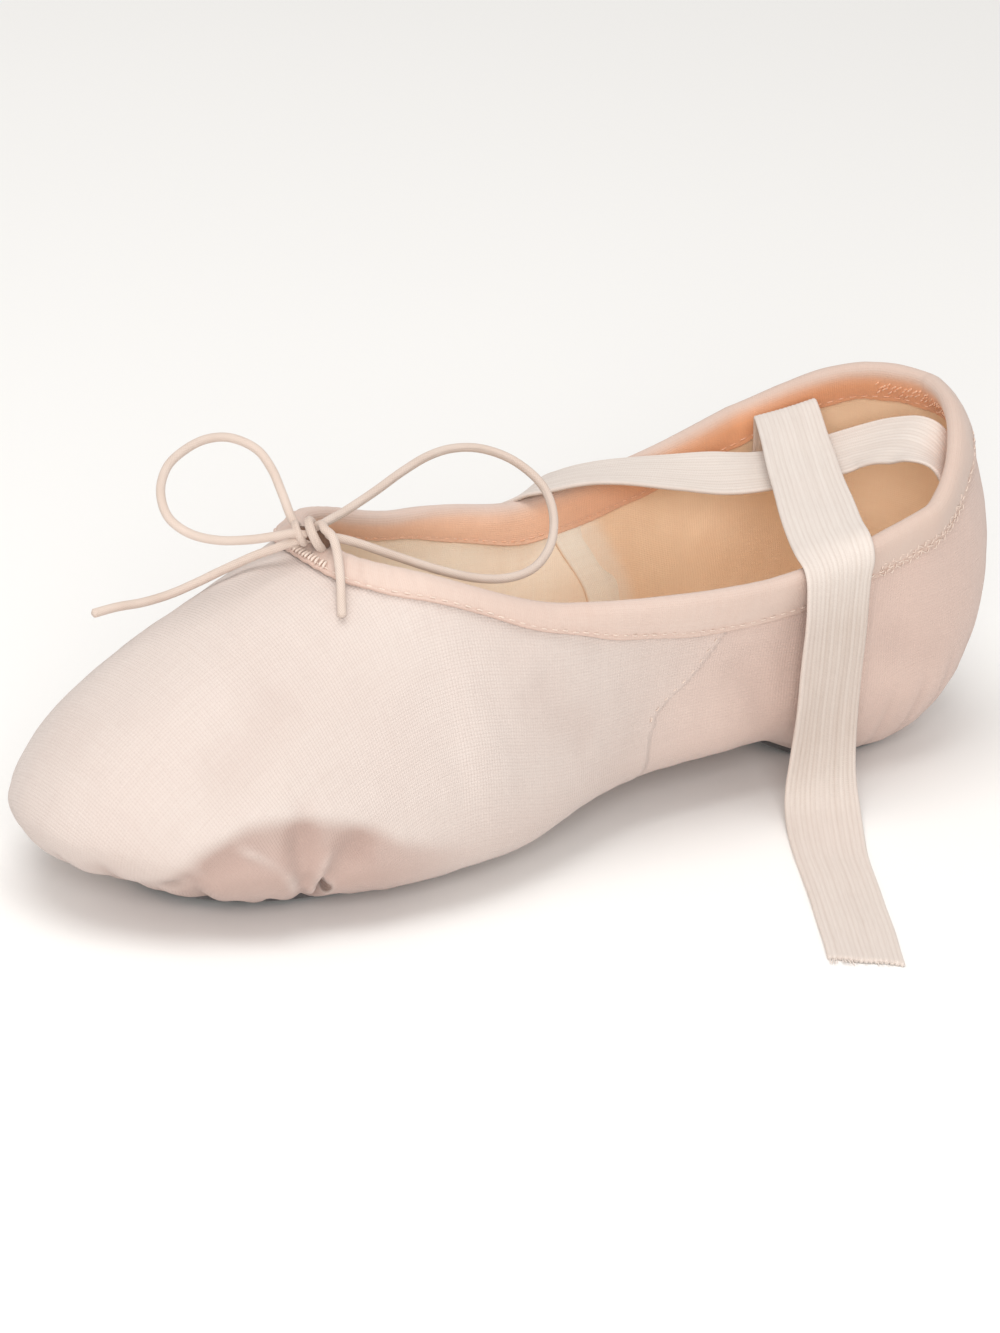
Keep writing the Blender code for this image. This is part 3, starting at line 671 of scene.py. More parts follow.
# Painted shadow in the deep gather under the little toe and in the dimple ahead of it
GATHER_SHADOW_BROWN = (0.15, 0.085, 0.06, 1.0)
THREAD_PINK = (0.80, 0.67, 0.58, 1.0)
# Painted shade: the thread inside the binding is a warmer, shaded copy of the sewing thread
THREAD_SALMON_SHADE = (0.95, 0.66, 0.50, 1.0)
SUEDE_GREY = (0.085, 0.082, 0.085, 1.0)
SUEDE_PALE = (0.19, 0.18, 0.18, 1.0)
ELASTIC_PINK = (0.73, 0.63, 0.58, 1.0)
SOCK_TAN = (0.82, 0.57, 0.38, 1.0)
# Threads a metre
CANVAS_THREADS = 1500.0
LINING_THREADS = 2100.0
TAPE_THREADS = 2300.0
# How far threads wander, in threads, and how they curve across themselves and along
THREAD_WANDER = 0.9
THREAD_CROWN = 3.4
THREAD_ARCH = 2.2
# Painted shade in the gaps between threads, darkening along random streaks, and the cloth's sheen
THREAD_GAP_SHADE = 0.30
STREAK_SHADE = 0.10
CLOTH_SHEEN = 0.25
# Picks of the elastic, in radians a metre; painted shade between the ribs; darker random lanes and grain; and
# painted shade on the hanging strap from under the rim down, of which this share is left by the floor
ELASTIC_THREADS = 9000.0
ELASTIC_VALLEY_SHADE = 0.27
ELASTIC_LANE_SHADE = 0.28
ELASTIC_GRAIN_SHADE = 0.18
ELASTIC_RIM_SHADE = 0.54
ELASTIC_FLOOR_SHADE = 0.35


def cloth_material(name, weave, tint, colour, deep, threads, mottle, relief, fold_depth):
    """A woven cloth whose fields are cloth (place on the flat cloth, metres) and fold (0 to 1), the share of
    painted shade in folds.
    """
    material, nodes, shader = new_material(name, 0.92, CLOTH_SHEEN)
    cloth = nodes.field("cloth", "Vector")
    woven = nodes.placed(weave, Cloth=cloth, Threads=threads)
    tinted = nodes.placed(
        tint, Colour=colour(nodes) if callable(colour) else colour, Deep=deep, Cloth=cloth,
        Fold=nodes.times(nodes.field("fold"), fold_depth, clamp=True), Gaps=woven["Gaps"], Mottle=mottle,
    )
    nodes.feed(shader["Base Color"], tinted["Colour"])
    fuzz = nodes.bump(nodes.noise(nodes.place(), 900.0, 4.0), 0.25, 0.0002)
    nodes.feed(shader["Normal"], nodes.bump(woven["Height"], relief, 0.00022, fuzz))
    nodes.feed(shader["Roughness"], nodes.span(woven["Height"], 0.0, 1.0, 0.96, 0.84))
    return material


def canvas_colour(nodes):
    """Pinker over the quarters, and painted dark brown shadow in the small gathers."""
    pink = nodes.mix(nodes.field("quarter"), CANVAS_PINK, QUARTER_PINK)
    return nodes.mix(nodes.field("gather"), pink, GATHER_SHADOW_BROWN)


def lining_colour(nodes):
    """Peach in the heel, cream ahead of the seam tape."""
    return nodes.mix(nodes.field("cream"), LINING_PEACH, LINING_CREAM)


def tape_colour(nodes):
    """Pink outside, deeper towards the heel; its inner face gets painted shade, a darker salmon, deeper still
    towards the heel.
    """
    outer = nodes.mix(nodes.field("rear"), TAPE_PINK, TAPE_PINK_HEEL)
    inner = nodes.mix(nodes.field("rear"), TAPE_INSIDE_SHADE, TAPE_INSIDE_HEEL_SHADE)
    return nodes.mix(nodes.field("inside"), outer, inner)


# Colour, deep colour, threads a metre, how mottled, how high the threads stand, how strong the painted shade
# in folds is
CLOTHS = {
    "pink_canvas_weave": (canvas_colour, CANVAS_DEEP, CANVAS_THREADS, 0.16, 0.45, 1.0),
    "cotton_lining": (lining_colour, LINING_DEEP, LINING_THREADS, 0.25, 0.25, 0.2),
    "cream_cotton": (LINING_CREAM, LINING_DEEP, LINING_THREADS, 0.12, 0.3, 1.0),
    "pale_seam_tape": (SEAM_TAPE_PALE, SEAM_TAPE_EDGE_SHADE, LINING_THREADS, 0.03, 0.3, 1.0),
    "pink_tape_weave": (tape_colour, TAPE_DEEP, TAPE_THREADS, 0.2, 0.35, 1.0),
}


def elastic_material():
    """Ribbed elastic: fields strip = (across, along, 0) in metres and valley = 1 between the ribs, where
    shade is painted.
    """
    material, nodes, shader = new_material("ribbed_elastic", 0.85, 0.3)
    strip = nodes.field("strip", "Vector")
    wobble = nodes.times(nodes.noise(strip, 260.0, 2.0), 1.4)
    thread = nodes.wave(nodes.plus(nodes.times(nodes.axes(strip)[1], ELASTIC_THREADS), wobble))
    grain = nodes.noise(nodes.scaled(strip, 5200.0, 240.0, 1.0), 1.0, 2.0)
    lanes = nodes.noise(nodes.scaled(strip, 900.0, 14.0, 1.0), 1.0, 3.0)
    height = nodes.axes(nodes.place())[2]
    # Painted shade on the hanging strap from under the rim down, lighter again where it lies on the floor
    below_rim = nodes.span(height, 0.040, 0.056, ELASTIC_RIM_SHADE, 0.0)
    above_floor = nodes.span(height, 0.002, 0.016, ELASTIC_FLOOR_SHADE, 1.0)
    # Painted shade between the ribs, and random lanes and grain
    shade = nodes.plus(
        nodes.times(nodes.field("valley"), ELASTIC_VALLEY_SHADE),
        nodes.times(nodes.span(lanes, 0.4, 0.7), ELASTIC_LANE_SHADE),
    )
    shade = nodes.plus(shade, nodes.times(below_rim, above_floor))
    grain_shade = nodes.times(nodes.span(grain, 0.45, 0.75), ELASTIC_GRAIN_SHADE)
    shade = nodes.plus(shade, grain_shade, clamp=True)
    cloudy = nodes.span(nodes.noise(nodes.place(), 45.0, 3.0), 0.35, 0.7, 0.0, 0.22)
    colour = nodes.mix(cloudy, nodes.mix(shade, ELASTIC_PALE, ELASTIC_DEEP), ELASTIC_PINK)
    nodes.feed(shader["Base Color"], colour)
    relief = nodes.plus(nodes.times(thread, 0.6), nodes.times(grain, 0.7))
    nodes.feed(shader["Normal"], nodes.bump(relief, 0.45, 0.00014))
    return material


def cord_material():
    """Thin braided cord: field wind = (turns round the cord, metres along, 0), and core = 1 where the knot's
    painted shadow goes.
    """
    material, nodes, shader = new_material("braided_cord", 0.8, 0.2)
    turns, metres, _ = nodes.axes(nodes.field("wind", "Vector"))
    round_it = nodes.times(turns, 2 * math.pi)
    along = nodes.times(metres, PLAIT_PITCH / MM)
    plait = nodes.math("MAXIMUM", *(
        nodes.wave(nodes.plus(nodes.times(round_it, strands), along))
        for strands in (PLAIT_STRANDS, -PLAIT_STRANDS)
    ))
    # Random soiling, and painted shade between the plait's strands
    soiled = nodes.span(nodes.noise(nodes.place(), 120.0), 0.4, 0.75, 0.0, 0.25)
    shade = nodes.plus(nodes.span(plait, 0.72, 1.0, 0.45, 0.0), soiled)
    colour = nodes.mix(shade, CORD_PALE, CORD_DEEP)
    # The knot's core is painted dark brown shadow
    nodes.feed(shader["Base Color"], nodes.mix(nodes.field("core"), colour, CORD_SHADE))
    nodes.feed(shader["Normal"], nodes.bump(plait, 0.5, 0.00016))
    return material


def thread_material(name, colour, deep):
    """Twisted sewing thread."""
    material, nodes, shader = new_material(name, 0.7, 0.1)
    twist = nodes.noise(nodes.scaled(nodes.place(), 2600.0, 2600.0, 2600.0), 1.0, 2.0)
    nodes.feed(shader["Base Color"], nodes.mix(nodes.span(twist, 0.4, 0.7), colour, deep))
    nodes.feed(shader["Normal"], nodes.bump(twist, 0.4, 0.0001))
    return material


def suede_material():
    """Grey suede: a short nap, paler where it is rubbed."""
    material, nodes, shader = new_material("grey_suede_nap", 0.95, 0.5, 0.4)
    nap = nodes.noise(nodes.place(), 1400.0, 5.0, 0.7)
    rubbed = nodes.noise(nodes.place(), 55.0, 5.0, 0.65)
    worn = nodes.span(nodes.plus(nodes.times(nap, 0.6), rubbed), 0.55, 1.1)
    nodes.feed(shader["Base Color"], nodes.mix(worn, SUEDE_GREY, SUEDE_PALE))
    nodes.feed(shader["Normal"], nodes.bump(nap, 0.6, 0.0002))
    return material


def leather_sock_material():
    """Smooth peach sock with a fine grain."""
    material, nodes, shader = new_material("peach_sock_lining", 0.6, 0.1)
    cells = nodes.add("ShaderNodeTexVoronoi", {"Vector": nodes.place(), "Scale": 1100.0}, feature="F1")
    blotch = nodes.span(nodes.noise(nodes.place(), 40.0, 4.0), 0.3, 0.75)
    nodes.feed(shader["Base Color"], nodes.mix(blotch, LINING_PEACH, SOCK_TAN))
    nodes.feed(shader["Normal"], nodes.bump(cells.outputs["Distance"], 0.25, 0.00012))
    nodes.feed(shader["Roughness"], nodes.span(blotch, 0.0, 1.0, 0.55, 0.7))
    return material


# --- camera, light and floor ---


def make_camera():
    turn, rise = math.radians(TURN_TO_TOE), math.radians(ELEVATION)
    back = Vector((-math.cos(turn) * math.cos(rise), math.sin(turn) * math.cos(rise), math.sin(rise)))
    level = Vector((-math.sin(turn), -math.cos(turn), 0.0))
    roll = Matrix.Rotation(math.radians(ROLL), 3, back)
    right, up = roll @ level, roll @ back.cross(level)
    ahead = (up * AIM_SHIFT[1] - right * AIM_SHIFT[0] - back).normalized()
    right = ahead.cross(up).normalized()
    turned = Matrix((right, right.cross(ahead), -ahead)).transposed().to_4x4()
    data = bpy.data.cameras.new("camera")
    data.sensor_width = SENSOR
    data.lens = LENS
    data.clip_start, data.clip_end = 0.01, 20.0
    camera = new_object("camera", data)
    camera.matrix_world = Matrix.Translation((Vector(AIM) + back * DISTANCE) * MM) @ turned
    bpy.context.scene.camera = camera


def make_light(name, where, size, power, colour):
    data = bpy.data.lights.new(name, "AREA")
    data.shape = "DISK"
    data.size = size
    data.energy = power
    data.color = colour
    light = new_object(name, data)
    light.location = where
    light.rotation_euler = (Vector(LIGHT_AIM) - Vector(where)).to_track_quat("-Z", "Y").to_euler()


def make_studio():
    world = bpy.data.worlds.new("studio")
    world.use_nodes = True
    sky = world.node_tree.nodes["Background"]
    sky.inputs["Color"].default_value = SKY_COLOUR
    sky.inputs["Strength"].default_value = SKY_STRENGTH
    bpy.context.scene.world = world
    bpy.context.scene.view_settings.view_transform = "Standard"
    for name, settings in LIGHTS.items():
        make_light(name, *settings)
    mesh = bpy.data.meshes.new("floor")
    corners = [(FLOOR_REACH * x, FLOOR_REACH * y, 0) for x, y in ((-1, -1), (1, -1), (1, 1), (-1, 1))]
    mesh.from_pydata(corners, [], [(0, 1, 2, 3)])
    material, nodes, shader = new_material("studio_floor", 0.9)
    nodes.feed(shader["Base Color"], nodes.mix(nodes.noise(nodes.place(), 3.0, 2.0), FLOOR_SHADE, FLOOR_PALE))
    mesh.materials.append(material)
    new_object("floor", mesh)


# --- drawstring ---

# Its plait: strands each way round, radians a millimetre, share of the cord's thickness
PLAIT_STRANDS = 6
PLAIT_PITCH = 5.2
PLAIT_RELIEF = 0.035
# How far the rounding of a cut end reaches, and how thin it leaves the tip
CORD_TIP = 0.5
CORD_TIP_SHARE = 0.4
# Turns of the knot: place along the bow from its middle, radius, thickness of the cord
KNOT_WRAPS = ((1.75, 1.75, 1.6), (-1.25, 2.55, 1.9))
KNOT_TILT = 30.0
BOW_HEADING = (0.60, 0.80, 0.02)
# The core in the knot, painted dark as the shadow inside it: where it starts and ends along the bow, its
# thickness, how its tail droops
KNOT_CORE_REACH = (-3.8, 2.6)
KNOT_CORE_THICKNESS = 2.9
KNOT_CORE_DROOP = 0.17


def tube(line, radius, around_count, closed=False):
    """Points and faces round a line that turn as little as they can along it.

    radius has a row for each of the line's points, with one number or one for each point round it.
    """
    ahead = unit(np.gradient(line, axis=0))
    side = np.cross(ahead[0], (0.0, 0.0, 1.0))
    if np.linalg.norm(side) < 0.1:
        side = np.cross(ahead[0], (1.0, 0.0, 0.0))
    sides = []
    for heading in ahead:
        side = unit(side - (side @ heading) * heading)
        sides.append(side)
    sides = np.array(sides)[:, None]
    angle = np.linspace(0, 2 * math.pi, around_count, endpoint=False)[:, None]
    ring = np.cos(angle) * sides + np.sin(angle) * np.cross(ahead[:, None], sides)
    points = line[:, None] + radius[..., None] * ring
    faces = grid_faces(points, ring_columns=closed, ring_rows=True)
    if not closed:
        last = (len(line) - 1) * around_count
        faces += [tuple(range(around_count)), tuple(range(last + around_count - 1, last - 1, -1))]
    return points.reshape(-1, 3), faces


def cord_tube(line, diameter, around_count, closed=False):
    """Points, faces and wind of a braided tube on a line, with rounded ends."""
    run = run_along(line)[:, None]
    turns = np.linspace(0, 1, around_count, endpoint=False)
    round_it = turns * 2 * math.pi * PLAIT_STRANDS
    plait = np.maximum(*(np.abs(np.sin(turn + run * PLAIT_PITCH)) for turn in (round_it, -round_it)))
    radius = diameter / 2 * (1 - PLAIT_RELIEF + PLAIT_RELIEF * plait)
    if not closed:
        from_end = np.clip(np.minimum(run, run[-1] - run) / CORD_TIP, 0, 1)
        radius = radius * np.sqrt(np.maximum(1 - (1 - from_end) ** 2, CORD_TIP_SHARE**2))
    wind = np.stack(np.broadcast_arrays(turns, run * MM, 0.0), -1)
    return *tube(line, radius, around_count, closed), wind.reshape(-1, 3)


def make_cord(name, route, replaced, material):
    line = smooth_route(route, CORD_STEP)
    points, faces, wind = cord_tube(line, CORD_DIAMETER, 20)
    cord = make_piece(name, points, faces, material, "pale_cord", *replaced)
    add_fields(cord, wind=wind)
    path = place(line)


def make_knot(material):
    """Two turns of the cord round the bow's crossing, and the short core that they grip, painted dark as the
    shadow inside the knot.
    """
    heading = unit(np.array(BOW_HEADING))
    side = unit(np.cross(heading, (0.0, 0.0, 1.0)))
    up = np.cross(side, heading)
    turn = np.linspace(0, 2 * math.pi, 56, endpoint=False)[:, None]
    tubes = []
    for along, radius, thickness in KNOT_WRAPS:
        shift = along + radius * math.tan(math.radians(KNOT_TILT)) * np.sin(turn)
        wrap = shift * heading + radius * (np.cos(turn) * side + np.sin(turn) * up)
        tubes.append(cord_tube(KNOT_MIDDLE + wrap, thickness, 18, closed=True))
    along = np.linspace(*KNOT_CORE_REACH, 16)
    core = KNOT_MIDDLE + along[:, None] * heading
    core[:, 2] -= KNOT_CORE_DROOP * np.minimum(along, 0.0) ** 2
    tubes.append(cord_tube(core, KNOT_CORE_THICKNESS, 16))
    points, faces = join((points, faces) for points, faces, _ in tubes)
    knot = make_piece("drawstring_knot", points, faces, material, "pale_cord", "lace_knot")
    winds = [wind for _, _, wind in tubes]
    # The core carries the knot's painted shadow
    is_core = [0.0] * len(KNOT_WRAPS) + [1.0]
    add_fields(knot, wind=np.concatenate(winds), core=np.repeat(is_core, [len(wind) for wind in winds]))
    return knot


def make_drawstring(material):
    """Both cords come out of the binding under the knot, make a loop, pass the knot and end bare."""
    knot = make_knot(material)
    right = (CORD_EXIT, *LOOP_RIGHT_ROUTE, *THROUGH_KNOT_RIGHT, *END_LEFT_ROUTE)
    left = (CORD_EXIT, *LOOP_LEFT_ROUTE, *THROUGH_KNOT_LEFT, *END_DOWN_ROUTE)
    make_cord("drawstring_right_loop", right, ("lace_loop_right", "lace_end_left"), material)
    make_cord("drawstring_left_loop", left, ("lace_loop_left", "lace_end_down"), material)


# --- straps ---


def strap_frames(route):
    """The strap's middle line with its widths, and the directions along, across and out of it."""
    middle = smooth_route(route, STRAP_STEP)
    ahead = unit(np.gradient(middle[:, :3], axis=0))
    across = middle[:, 3:6]
    across = unit(across - np.sum(across * ahead, axis=1)[:, None] * ahead)
    return middle, ahead, across, np.cross(ahead, across)


def make_strap(name, route, replaced, material, seed):
    """A ribbed elastic strip. Its ribs are real, its edges wander a little, its cut end is uneven."""
    middle, ahead, across, out = strap_frames(route)
    run = run_along(middle)
    u = np.linspace(-1, 1, STRAP_RIBS * 4 + 1)
    rib = np.abs(np.cos(u * math.pi * STRAP_RIBS / 2))
    edge = np.clip((1 - np.abs(u)) / STRAP_EDGE, 0, 1) ** 0.5
    valley, ridge = STRAP_RELIEF
    thick = STRAP_THICKNESS / 2 * (valley + ridge * rib) * (STRAP_EDGE_THIN + (1 - STRAP_EDGE_THIN) * edge)
    half = middle[:, 6] / 2
    sideways = (half * (1 + STRAP_EDGE_WANDER * np.sin(run * 0.3 + seed)))[:, None] * u
    ragged = 0.30 * rib + 0.25 * np.sin(u * 5.0 + seed) - STRAP_END_SLANT * u
    cut = bell(run[-1] - run, STRAP_CUT_REACH)[:, None] * ragged
    ripple = STRAP_RIPPLE * np.sin(run / 3.1 + seed)[:, None] * np.cos(u * 2.4)
    centre = middle[:, None, :3]
    for moved, way in ((sideways, across), (cut, ahead), (ripple, out)):
        centre = centre + moved[..., None] * way[:, None]
    raised = thick[:, None] * out[:, None]
    loop = np.concatenate([centre + raised, (centre - raised)[:, ::-1]], axis=1)
    faces = grid_faces(loop, ring_rows=True)
    size = loop.shape[1]
    for start, turned in ((0, 1), (len(middle) * size - size, -1)):
        for lane in range(len(u) - 1):
            quad = (start + lane, start + lane + 1, start + size - 2 - lane, start + size - 1 - lane)
            faces.append(quad[::turned])
    strap = make_piece(name, loop, faces, material, "pale_elastic", replaced)
    u, rib = (np.concatenate([lane, lane[::-1]]) for lane in (u, rib))
    add_fields(
        strap,
        strip=np.stack([u * half[:, None] * MM, np.broadcast_to(run[:, None] * MM, loop.shape[:2]),
                        np.zeros(loop.shape[:2])], -1),
        valley=np.broadcast_to((1 - rib) ** 2, loop.shape[:2]),
    )


def make_frays(material):
    """Short loose threads at each strap's cut end."""
    draw = random.Random(5)
    t = np.linspace(0, 1, 6)[:, None]
    parts = []
    for route in (STRAP_FAR_ROUTE, STRAP_NEAR_ROUTE):
        middle, ahead, across, _ = strap_frames(route)
        for _ in range(STRAP_FRAYS):
            u = draw.uniform(-0.98, 0.98)
            start = middle[-1, :3] + u * middle[-1, 6] / 2 * across[-1] - 0.6 * ahead[-1]
            long = draw.uniform(0.9, 2.4)
            bend = draw.uniform(-0.5, 0.5)
            lift = draw.uniform(-0.25, 0.35)
            line = start + long * t * ahead[-1] + bend * t * t * across[-1] + lift * t * (0.0, 0.0, 1.0)
            parts.append(thread_tube(line, 0.13, 5))
    make_piece("strap_frays", *join(parts), material, "pale_elastic")


# --- stitches ---

BINDING_PITCH = 2.5
# Kinds of stitch: pitch, length, the thread's radius, height
STITCHES = {
    "binding outer": (BINDING_PITCH, 1.6, 0.15, 0.10),
    "binding inner": (BINDING_PITCH, 1.6, 0.11, 0.10),
    "bar tack": (2.2, 1.9, 0.30, 0.16),
    "zigzag": (1.5, 1.3, 0.11, 0.03),
    "heel top": (1.3, 1.0, 0.17, 0.10),
    "side seam": (2.6, 1.0, 0.13, 0.06),
    "pad": (2.6, 1.768, 0.16, 0.10),
    "insole": (2.8, 1.904, 0.16, 0.10),
}
# How deep a stitch's ends go into the cloth
STITCH_SINK = 0.22


def thread_tube(line, radius, around_count):
    """A thin thread that narrows to its ends."""
    radii = np.full((len(line), 1), radius)
    radii[[0, -1]] *= 0.35
    return tube(line, radii, around_count)


def stitch_parts(kind, line, outward, seed, slant=0.0, wander=0.1):
    """Short humped stitches along a line. outward is the surface's normal at each of its points."""
    pitch, length, radius, rise = STITCHES[kind]
    draw = random.Random(seed)
    run = run_along(line)
    t = np.linspace(-1, 1, 6)
    parts = []
    at = pitch / 2
    while at + length / 2 < run[-1]:
        spots = np.clip(at + t * length / 2, 0, run[-1])
        base, normal = (
            np.stack([np.interp(spots, run, values) for values in each.T], -1)
            for each in (line, unit(outward))
        )
        normal = unit(normal)
        sideways = np.cross(normal, unit(base[-1] - base[0]))
        offset = slant * t + draw.uniform(-wander, wander)
        hump = rise * (1 - t**4) - STITCH_SINK * t**4
        parts.append(thread_tube(base + hump[:, None] * normal + offset[:, None] * sideways, radius, 6))
        at += pitch * draw.uniform(0.96, 1.04)
    return parts


# --- canvas upper ---

# Side seam between vamp and quarter: height, distance from the heel
SIDE_SEAM = (
    (0.0, 102.0), (12.7, 102.0), (25.2, 101.0), (28.7, 98.0), (32.3, 93.0), (39.9, 87.0), (46.0, 83.5),
)
SIDE_SEAM_SLOPE = 0.85
SIDE_STITCH_HEIGHTS = (24.0, 41.5)
SIDE_STITCH_AHEAD = 1.3
# Rows of points out from the sole openings to the widest line, and up the wall from it
CANVAS_UNDER_ROWS = 26
CANVAS_WALL_ROWS = 60
WELD_REACH = 0.02
# Painted shade on the canvas low down, towards the floor
LOW_SHADE = 0.32
# Unevenness of the canvas, and its gather under the binding: height, wavelength, seed
CANVAS_WAVES = ((0.22, 30.0, 3), (0.07, 9.0, 4))
BINDING_GATHER = (0.12, 7.0, 8)
# Rise of the vamp's edge over the seams, and depth and painted shade of the side and back seams
VAMP_EDGE_RISE = 0.14
SIDE_SEAM_DEPTH = 0.05
SIDE_SEAM_SHADE = 0.06
BACK_SEAM_DEPTH = 0.35
BACK_SEAM_SHADE = 0.4

# Soft folds of the canvas: depth (in is below 0), width, then the places it runs through
FOLDS = (
    (-2.1, 2.8, ((-33.8, 189.6, 8.5), (-35.0, 190.0, 12.0), (-35.6, 190.8, 15.0), (-35.0, 190.8, 20.0),
                 (-33.0, 190.0, 26.0))),
    (1.3, 1.0, ((-32.6, 191.0, 8.8), (-34.3, 192.0, 11.2), (-35.5, 195.3, 15.4),
                (-33.4, 198.9, 18.3), (-30.9, 201.7, 19.7), (-29.0, 203.8, 20.6))),
    (1.2, 1.0, ((-32.0, 187.2, 6.0), (-35.8, 187.6, 10.2), (-37.4, 187.6, 14.4), (-37.2, 186.4, 16.4),
                (-36.4, 185.0, 18.0))),
    (-3.2, 0.9, ((-27.5, 184.0, 4.4), (-32.4, 185.2, 7.2), (-35.3, 186.2, 9.8), (-36.5, 186.8, 12.2))),
    (-1.8, 3.0, ((-36.2, 185.4, 10.5), (-37.3, 183.4, 14.5), (-37.5, 179.7, 18.4), (-37.5, 176.6, 20.4))),
    (-0.8, 4.0, ((-28.6, 209.0, 14.7), (-30.3, 205.7, 17.4), (-31.5, 202.1, 18.5))),
    (0.5, 2.2, ((-26.0, 212.0, 19.0), (-30.0, 204.0, 24.0), (-32.4, 196.0, 26.6), (-34.5, 187.5, 26.0),
                (-36.1, 181.0, 24.6), (-38.1, 170.8, 20.0))),
    (-0.35, 2.6, ((-13.0, 222.5, 14.0), (-15.5, 220.6, 17.5), (-18.5, 218.0, 20.0))),
    (-0.7, 1.2, ((-21.6, 213.6, 11.6), (-23.3, 212.5, 12.5), (-24.6, 211.3, 13.4))),
    (-0.35, 6.5, ((-19.0, 184.0, 48.0), (-24.0, 196.0, 38.0), (-27.0, 206.0, 28.0))),
    (-0.45, 6.0, ((-29.5, 136.0, 44.0), (-32.0, 128.0, 33.0), (-31.0, 118.0, 24.0))),
    (0.4, 5.0, ((-27.5, 152.0, 49.0), (-34.5, 150.0, 34.0), (-39.0, 146.0, 20.0))),
    (-0.5, 5.0, ((-31.5, 48.0, 36.0), (-31.8, 38.0, 29.0), (-29.5, 25.0, 24.0))),
    (0.4, 4.0, ((-31.5, 44.0, 26.0), (-31.0, 34.0, 20.0), (-27.0, 20.0, 18.0))),
    (-0.45, 4.0, ((-30.0, 84.0, 36.0), (-29.0, 76.0, 26.0), (-28.0, 72.0, 16.0))),
    (0.8, 2.2, ((33.5, 195.0, 8.0), (34.5, 191.0, 14.0), (34.0, 188.0, 22.0))),
    (-1.2, 2.8, ((35.6, 187.0, 9.5), (36.4, 184.0, 14.5), (36.8, 178.0, 20.0))),
    (-1.0, 2.4, ((31.0, 199.0, 9.0), (32.6, 198.0, 14.0), (31.0, 200.0, 21.0))),
    (-0.5, 5.0, ((29.5, 136.0, 44.0), (32.0, 128.0, 33.0), (31.0, 118.0, 24.0))),
    (-0.5, 5.0, ((31.5, 46.0, 36.0), (31.8, 36.0, 29.0), (29.5, 24.0, 24.0))),
)

# Shade in the bottom of a fold and light on its crest, for each millimetre of depth
FOLD_SHADE = 0.45
SOFT_CREST = 0.12
SHARP_CREST = 0.36
NARROW_CREST = 1.5

# Pleats gathered under the toe: turn from straight ahead (left is below 0), depth, width, reach
# up the wall above the widest line, which is less than 0 where it stops short of it
PLEATS = (
    (-5.0, 0.9, 1.3, -7.0), (-15.2, 0.8, 2.4, -6.0), (-24.0, 0.8, 1.2, -13.0), (-32.9, 1.2, 1.8, -3.5),
    (-42.0, 0.9, 1.3, -13.0), (-51.0, 0.8, 1.3, -11.0), (-61.0, 1.0, 1.2, -6.0), (-74.0, 0.9, 1.4, -13.0),
    (-87.0, 1.0, 1.5, -12.0), (-101.0, 0.8, 1.6, -12.0), (-117.0, 0.7, 1.6, -12.0),
    (-136.0, 0.6, 1.6, -12.0), (6.0, 1.0, 1.3, -6.0), (17.5, 1.3, 1.4, -1.0), (28.0, 0.9, 1.3, -12.0),
    (37.5, 1.4, 1.4, -1.5), (47.0, 0.9, 1.3, -12.0), (57.0, 1.2, 1.3, -3.5), (68.0, 0.9, 1.4, -12.0),
    (80.0, 1.0, 1.5, -12.0), (94.0, 0.9, 1.6, -12.0), (110.0, 0.7, 1.6, -12.0), (130.0, 0.6, 1.6, -12.0),
)
PLEAT_CENTRE_Y = 170.5
# How far the canvas puffs beside each pleat, and the painted shade in each groove
PLEAT_PUFF = 0.18
PLEAT_SHADE = 0.55
# Heel pleats: how many, how deep, and the painted shade in their grooves
HEEL_PLEATS = 11
HEEL_PLEAT_DEPTH = 0.55
HEEL_PLEAT_SHADE = 0.3
# Edge over which the canvas is drawn in under the toes: distance from the heel, height
TOE_EDGE = (
    (140.0, 12.5), (158.0, 15.5), (169.6, 18.3), (175.0, 21.3), (178.6, 23.0), (185.4, 24.6),
    (189.6, 24.9), (195.3, 25.5), (200.2, 25.0), (206.3, 21.8), (212.6, 18.0), (217.0, 13.5),
    (222.0, 9.5), (228.0, 6.5),
)
# Brow and hollow of the tuck below the toe edge, and the painted shade there
TUCK_BROW = 0.4
TUCK_HOLLOW = 1.2
TUCK_SHADE = 0.78

# Painted shadow in the dark gathers: place, size along each axis, strength
GATHER_SPOTS = (
    ((-33.5, 184.6, 9.8), (2.1, 1.2, 2.0), 2.2),
    ((-23.0, 212.4, 12.4), (2.8, 3.0, 1.7), 0.62),
)


def toe_tuck(points):
    """The canvas drawn in below the toe edge on the left: how far it moves, and the painted shade that
    darkens it.
    """
    below = glide(TOE_EDGE, points[:, 1]) - points[:, 2]
    along = smooth_step(146.0, 182.0, points[:, 1]) * (1 - 0.7 * smooth_step(206.0, 216.0, points[:, 1]))
    where = along * (points[:, 0] < 0)
    moved = TUCK_BROW * bell(below + 1.2, 2.0) - TUCK_HOLLOW * bell(below - 5.0, 3.2)
    return where * moved, where * smooth_step(-1.0, 3.0, below) * TUCK_SHADE


def fold_relief(points):
    """How far the soft folds move the canvas, out above 0, the painted shade in each fold's bottom, and the
    painted highlight on its crest.
    """
    moved, depth, pale = np.zeros((3, len(points)))
    for rise, width, route in FOLDS:
        away, share = near_route(points, smooth_route(route, 2.0))
        fade = smooth_step(0.0, 0.22, share) * smooth_step(0.0, 0.22, 1 - share)
        shape = bell(away, width) * (0.25 + 0.75 * fade)
        moved += rise * shape
        # Painted shade in the fold's bottom, painted highlight on a crest
        depth += max(-rise, 0.0) * FOLD_SHADE * shape
        pale += max(rise, 0.0) * (SOFT_CREST if width > NARROW_CREST else SHARP_CREST) * shape
    return moved, depth, pale


